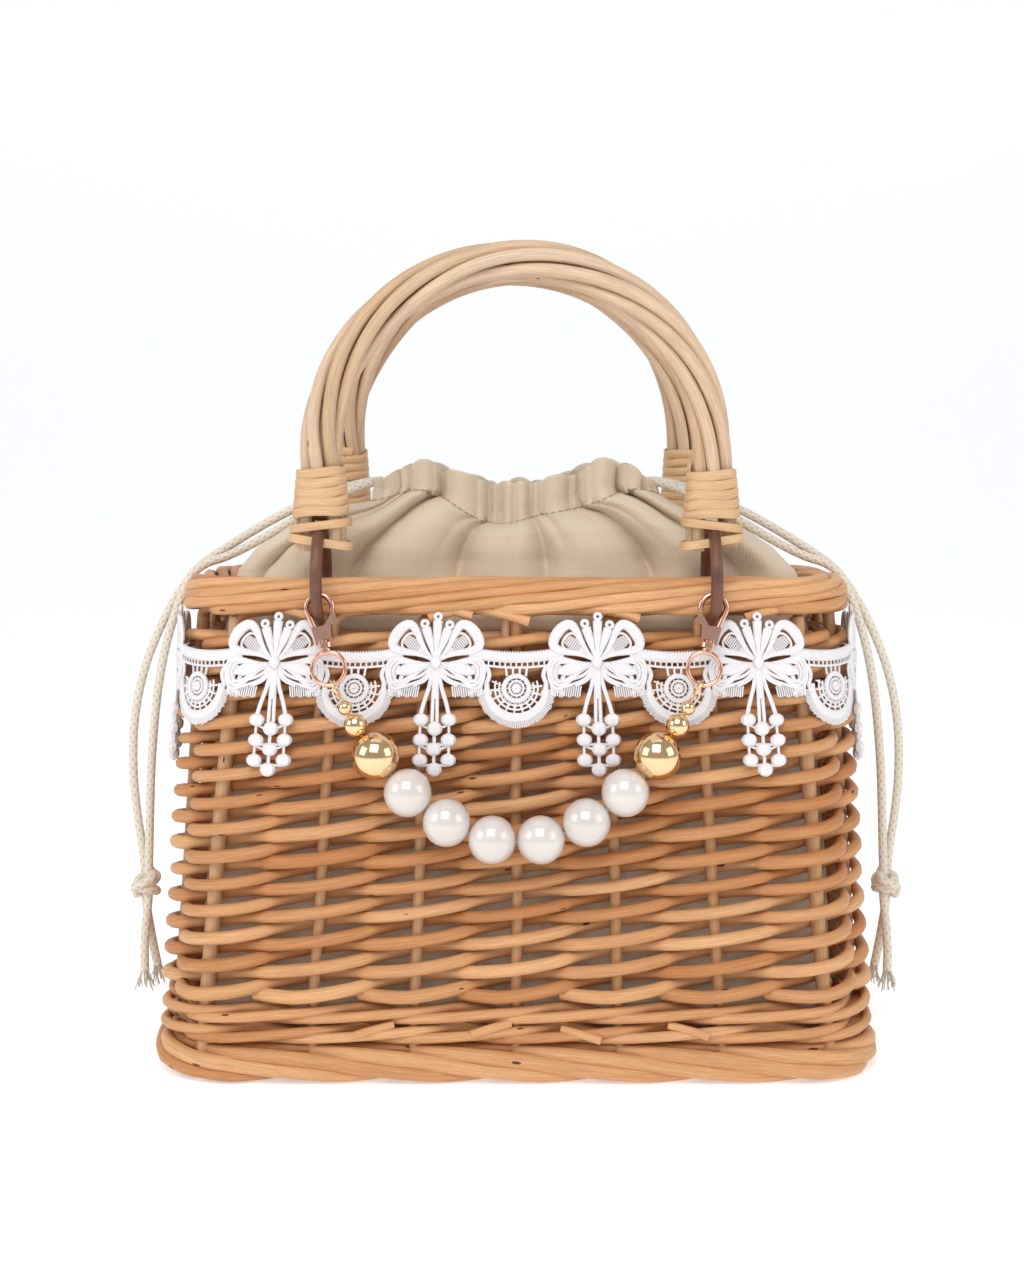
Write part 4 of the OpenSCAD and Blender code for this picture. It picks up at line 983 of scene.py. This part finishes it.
# ---- Clasps and pearl chain ----
# Two die-cast swivel clasps in polished rose gold hang from the front rings. Between their eyes hangs a string of
# six imitation pearls with three plated beads and a twisted wire loop at each end.
def polished(name, colour, rough, scratches):
    """A polished plating with faint cloudy wear and hairline scratches."""
    made, tree, shader = material(name, rough, 1.0)
    place = shader_node(tree, "TexCoord")
    cloud = shader_node(tree, "TexNoise", {"Scale": 420, "Detail": 3, "Vector": place.outputs["Object"]})
    stretch = shader_node(tree, "Mapping", {"Scale": (300, 300, 5200), "Vector": place.outputs["Object"]})
    hair = shader_node(tree, "TexNoise", {"Scale": 1.0, "Detail": 2, "Vector": stretch.outputs["Vector"]})
    worn = shader_node(tree, "MapRange", {"From Min": 0.3, "From Max": 0.75, "To Min": rough, "To Max": rough + 0.06, "Value": cloud.outputs["Fac"]})
    tree.links.new(worn.outputs[0], shader.inputs["Roughness"])
    tree.links.new(ramp(tree, cloud.outputs["Fac"], [(0.3, tuple(c * 0.94 for c in colour)), (0.6, colour)]),
                   shader.inputs["Base Color"])
    bump = shader_node(tree, "Bump", {"Strength": scratches, "Distance": 0.00005, "Height": hair.outputs["Fac"]})
    tree.links.new(bump.outputs["Normal"], shader.inputs["Normal"])
    return made


rose_gold = polished("rose_gold_plating", (0.88, 0.50, 0.36), 0.13, 0.04)
gold = polished("gold_plating", (0.90, 0.64, 0.36), 0.09, 0.05)
steel = polished("spring_steel", (0.62, 0.61, 0.60), 0.28, 0.3)
for side in ("left", "right"):
    for node, finish in ((f"{side}_clasp_hook", rose_gold), (f"{side}_clasp_gate", rose_gold),
                         (f"{side}_gate_pin", rose_gold),
                         (f"{side}_swivel_eye", rose_gold), (f"{side}_gate_spring", steel), (f"{side}_gold_bead",
                                                                                             gold),
                         (f"{side}_mid_beads", gold), (f"{side}_wire_loop", gold)):
        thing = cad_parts[node]
        thing.data.materials.clear()
        thing.data.materials.append(finish)

# The pearls are moulded beads with a nacre lacquer: white, with a warm blush that drifts over each one.
pearl, tree, shader = material("nacre_lacquer", 0.2)
place = shader_node(tree, "TexCoord")
drift = shader_node(tree, "TexNoise", {"Scale": 55, "Detail": 1, "Vector": place.outputs["Object"]})
tree.links.new(ramp(tree, drift.outputs["Fac"], [(0.3, (0.68, 0.60, 0.56)), (0.7, (0.72, 0.67, 0.62))]),
               shader.inputs["Base Color"])
mottle = shader_node(tree, "TexNoise", {"Scale": 900, "Detail": 2, "Vector": place.outputs["Object"]})
satin_gloss = shader_node(tree, "MapRange", {"To Min": 0.16, "To Max": 0.26, "Value": mottle.outputs["Fac"]})
tree.links.new(satin_gloss.outputs[0], shader.inputs["Roughness"])
shader.inputs["Coat Weight"].default_value = 0.8
shader.inputs["Coat Roughness"].default_value = 0.08
shader.inputs["Specular IOR Level"].default_value = 0.8
shader.inputs["Coat IOR"].default_value = 1.8
for number in range(1, 7):
    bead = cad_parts[f"pearl_{number}"]
    bead.data.materials.clear()
    bead.data.materials.append(pearl)

# The string is a beading wire in a nylon coat. It hangs as a catenary through the bores of all the beads.
sag, tilt, pivot = 0.0433, math.radians(8), np.array([0, -0.0639, 0.1357])
line = []
for s in np.linspace(-0.07965, 0.07965, 121):
    x = sag * math.asinh(s / sag)
    z = 0.0835 + sag * (math.cosh(x / sag) - 1) - 0.1357
    line.append(pivot + np.array([x, z * math.sin(tilt), z * math.cos(tilt)]))
string = strands("bead_wire", [(line, 0.00045, 0.5)], sides=10)
nylon, tree, shader = material("beading_wire", 0.35)
uv = shader_node(tree, "UVMap", uv_map="UVMap")
lay = shader_node(tree, "TexWave", {"Scale": 180, "Vector": uv.outputs["UV"]})
tree.links.new(ramp(tree, lay.outputs["Fac"], [(0.0, (0.62, 0.50, 0.34)), (1.0, (0.80, 0.68, 0.48))]),
               shader.inputs["Base Color"])
string.data.materials.append(nylon)
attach(string, "pearl_chain")
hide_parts("bead_string")


# ---- Floor and light ----
# A plain pale sweep that rises behind the basket, and soft light from above the camera and from both sides.
bpy.ops.mesh.primitive_plane_add(size=6, location=(0, -1.6, 0))
floor = bpy.context.object
floor.name = "floor"
bpy.ops.object.mode_set(mode="EDIT")
bpy.ops.mesh.select_all(action="DESELECT")
bpy.ops.object.mode_set(mode="OBJECT")
for edge in floor.data.edges:
    edge.select = all(floor.data.vertices[v].co.y > 2.9 for v in edge.vertices)
for vertex in floor.data.vertices:
    vertex.select = vertex.co.y > 2.9
bpy.ops.object.mode_set(mode="EDIT")
bpy.context.tool_settings.mesh_select_mode = (False, True, False)
for step in range(1, 13):
    a, b = math.radians(7.5 * (step - 1)), math.radians(7.5 * step)
    bpy.ops.mesh.extrude_region_move(TRANSFORM_OT_translate={"value": (0, 0.9 * (math.sin(b) - math.sin(a)),
                                                                       0.9 * (math.cos(a) - math.cos(b)))})
bpy.ops.mesh.extrude_region_move(TRANSFORM_OT_translate={"value": (0, 0, 2.2)})
bpy.ops.object.mode_set(mode="OBJECT")
bpy.ops.object.shade_smooth()
floor_paint, tree, shader = material("floor_paint", 0.7)
shader.inputs["Base Color"].default_value = (0.84, 0.845, 0.85, 1)
shader.inputs["Emission Color"].default_value = (0.97, 0.985, 1.0, 1)
shader.inputs["Emission Strength"].default_value = 0.44
floor.data.materials.append(floor_paint)
world = bpy.data.worlds.new("studio")
bpy.context.scene.world = world
world.use_nodes = True
world.node_tree.nodes["Background"].inputs["Color"].default_value = (0.95, 0.97, 1.0, 1)
world.node_tree.nodes["Background"].inputs["Strength"].default_value = 0.44
for name, place, size, power, aim in (("key_light", (-0.12, -0.85, 0.95), 0.75, 7.0, (0, 0, 0.12)),
                                      ("left_light", (-0.95, -0.45, 0.55), 0.6, 2.2, (0, 0, 0.12)),
                                      ("right_light", (0.95, -0.45, 0.5), 0.6, 1.9, (0, 0, 0.12)),
                                      ("top_light", (0.0, 0.15, 1.2), 0.8, 1.2, (0, 0, 0.1))):
    bpy.ops.object.light_add(type="AREA", location=place)
    lamp = bpy.context.object
    lamp.name = name
    lamp.data.size = size
    lamp.data.energy = power
    toward = np.array(aim) - np.array(place)
    lamp.rotation_euler = (math.atan2(math.hypot(toward[0], toward[1]), -toward[2]), 0,
                           math.atan2(toward[0], -toward[1]) + math.pi)
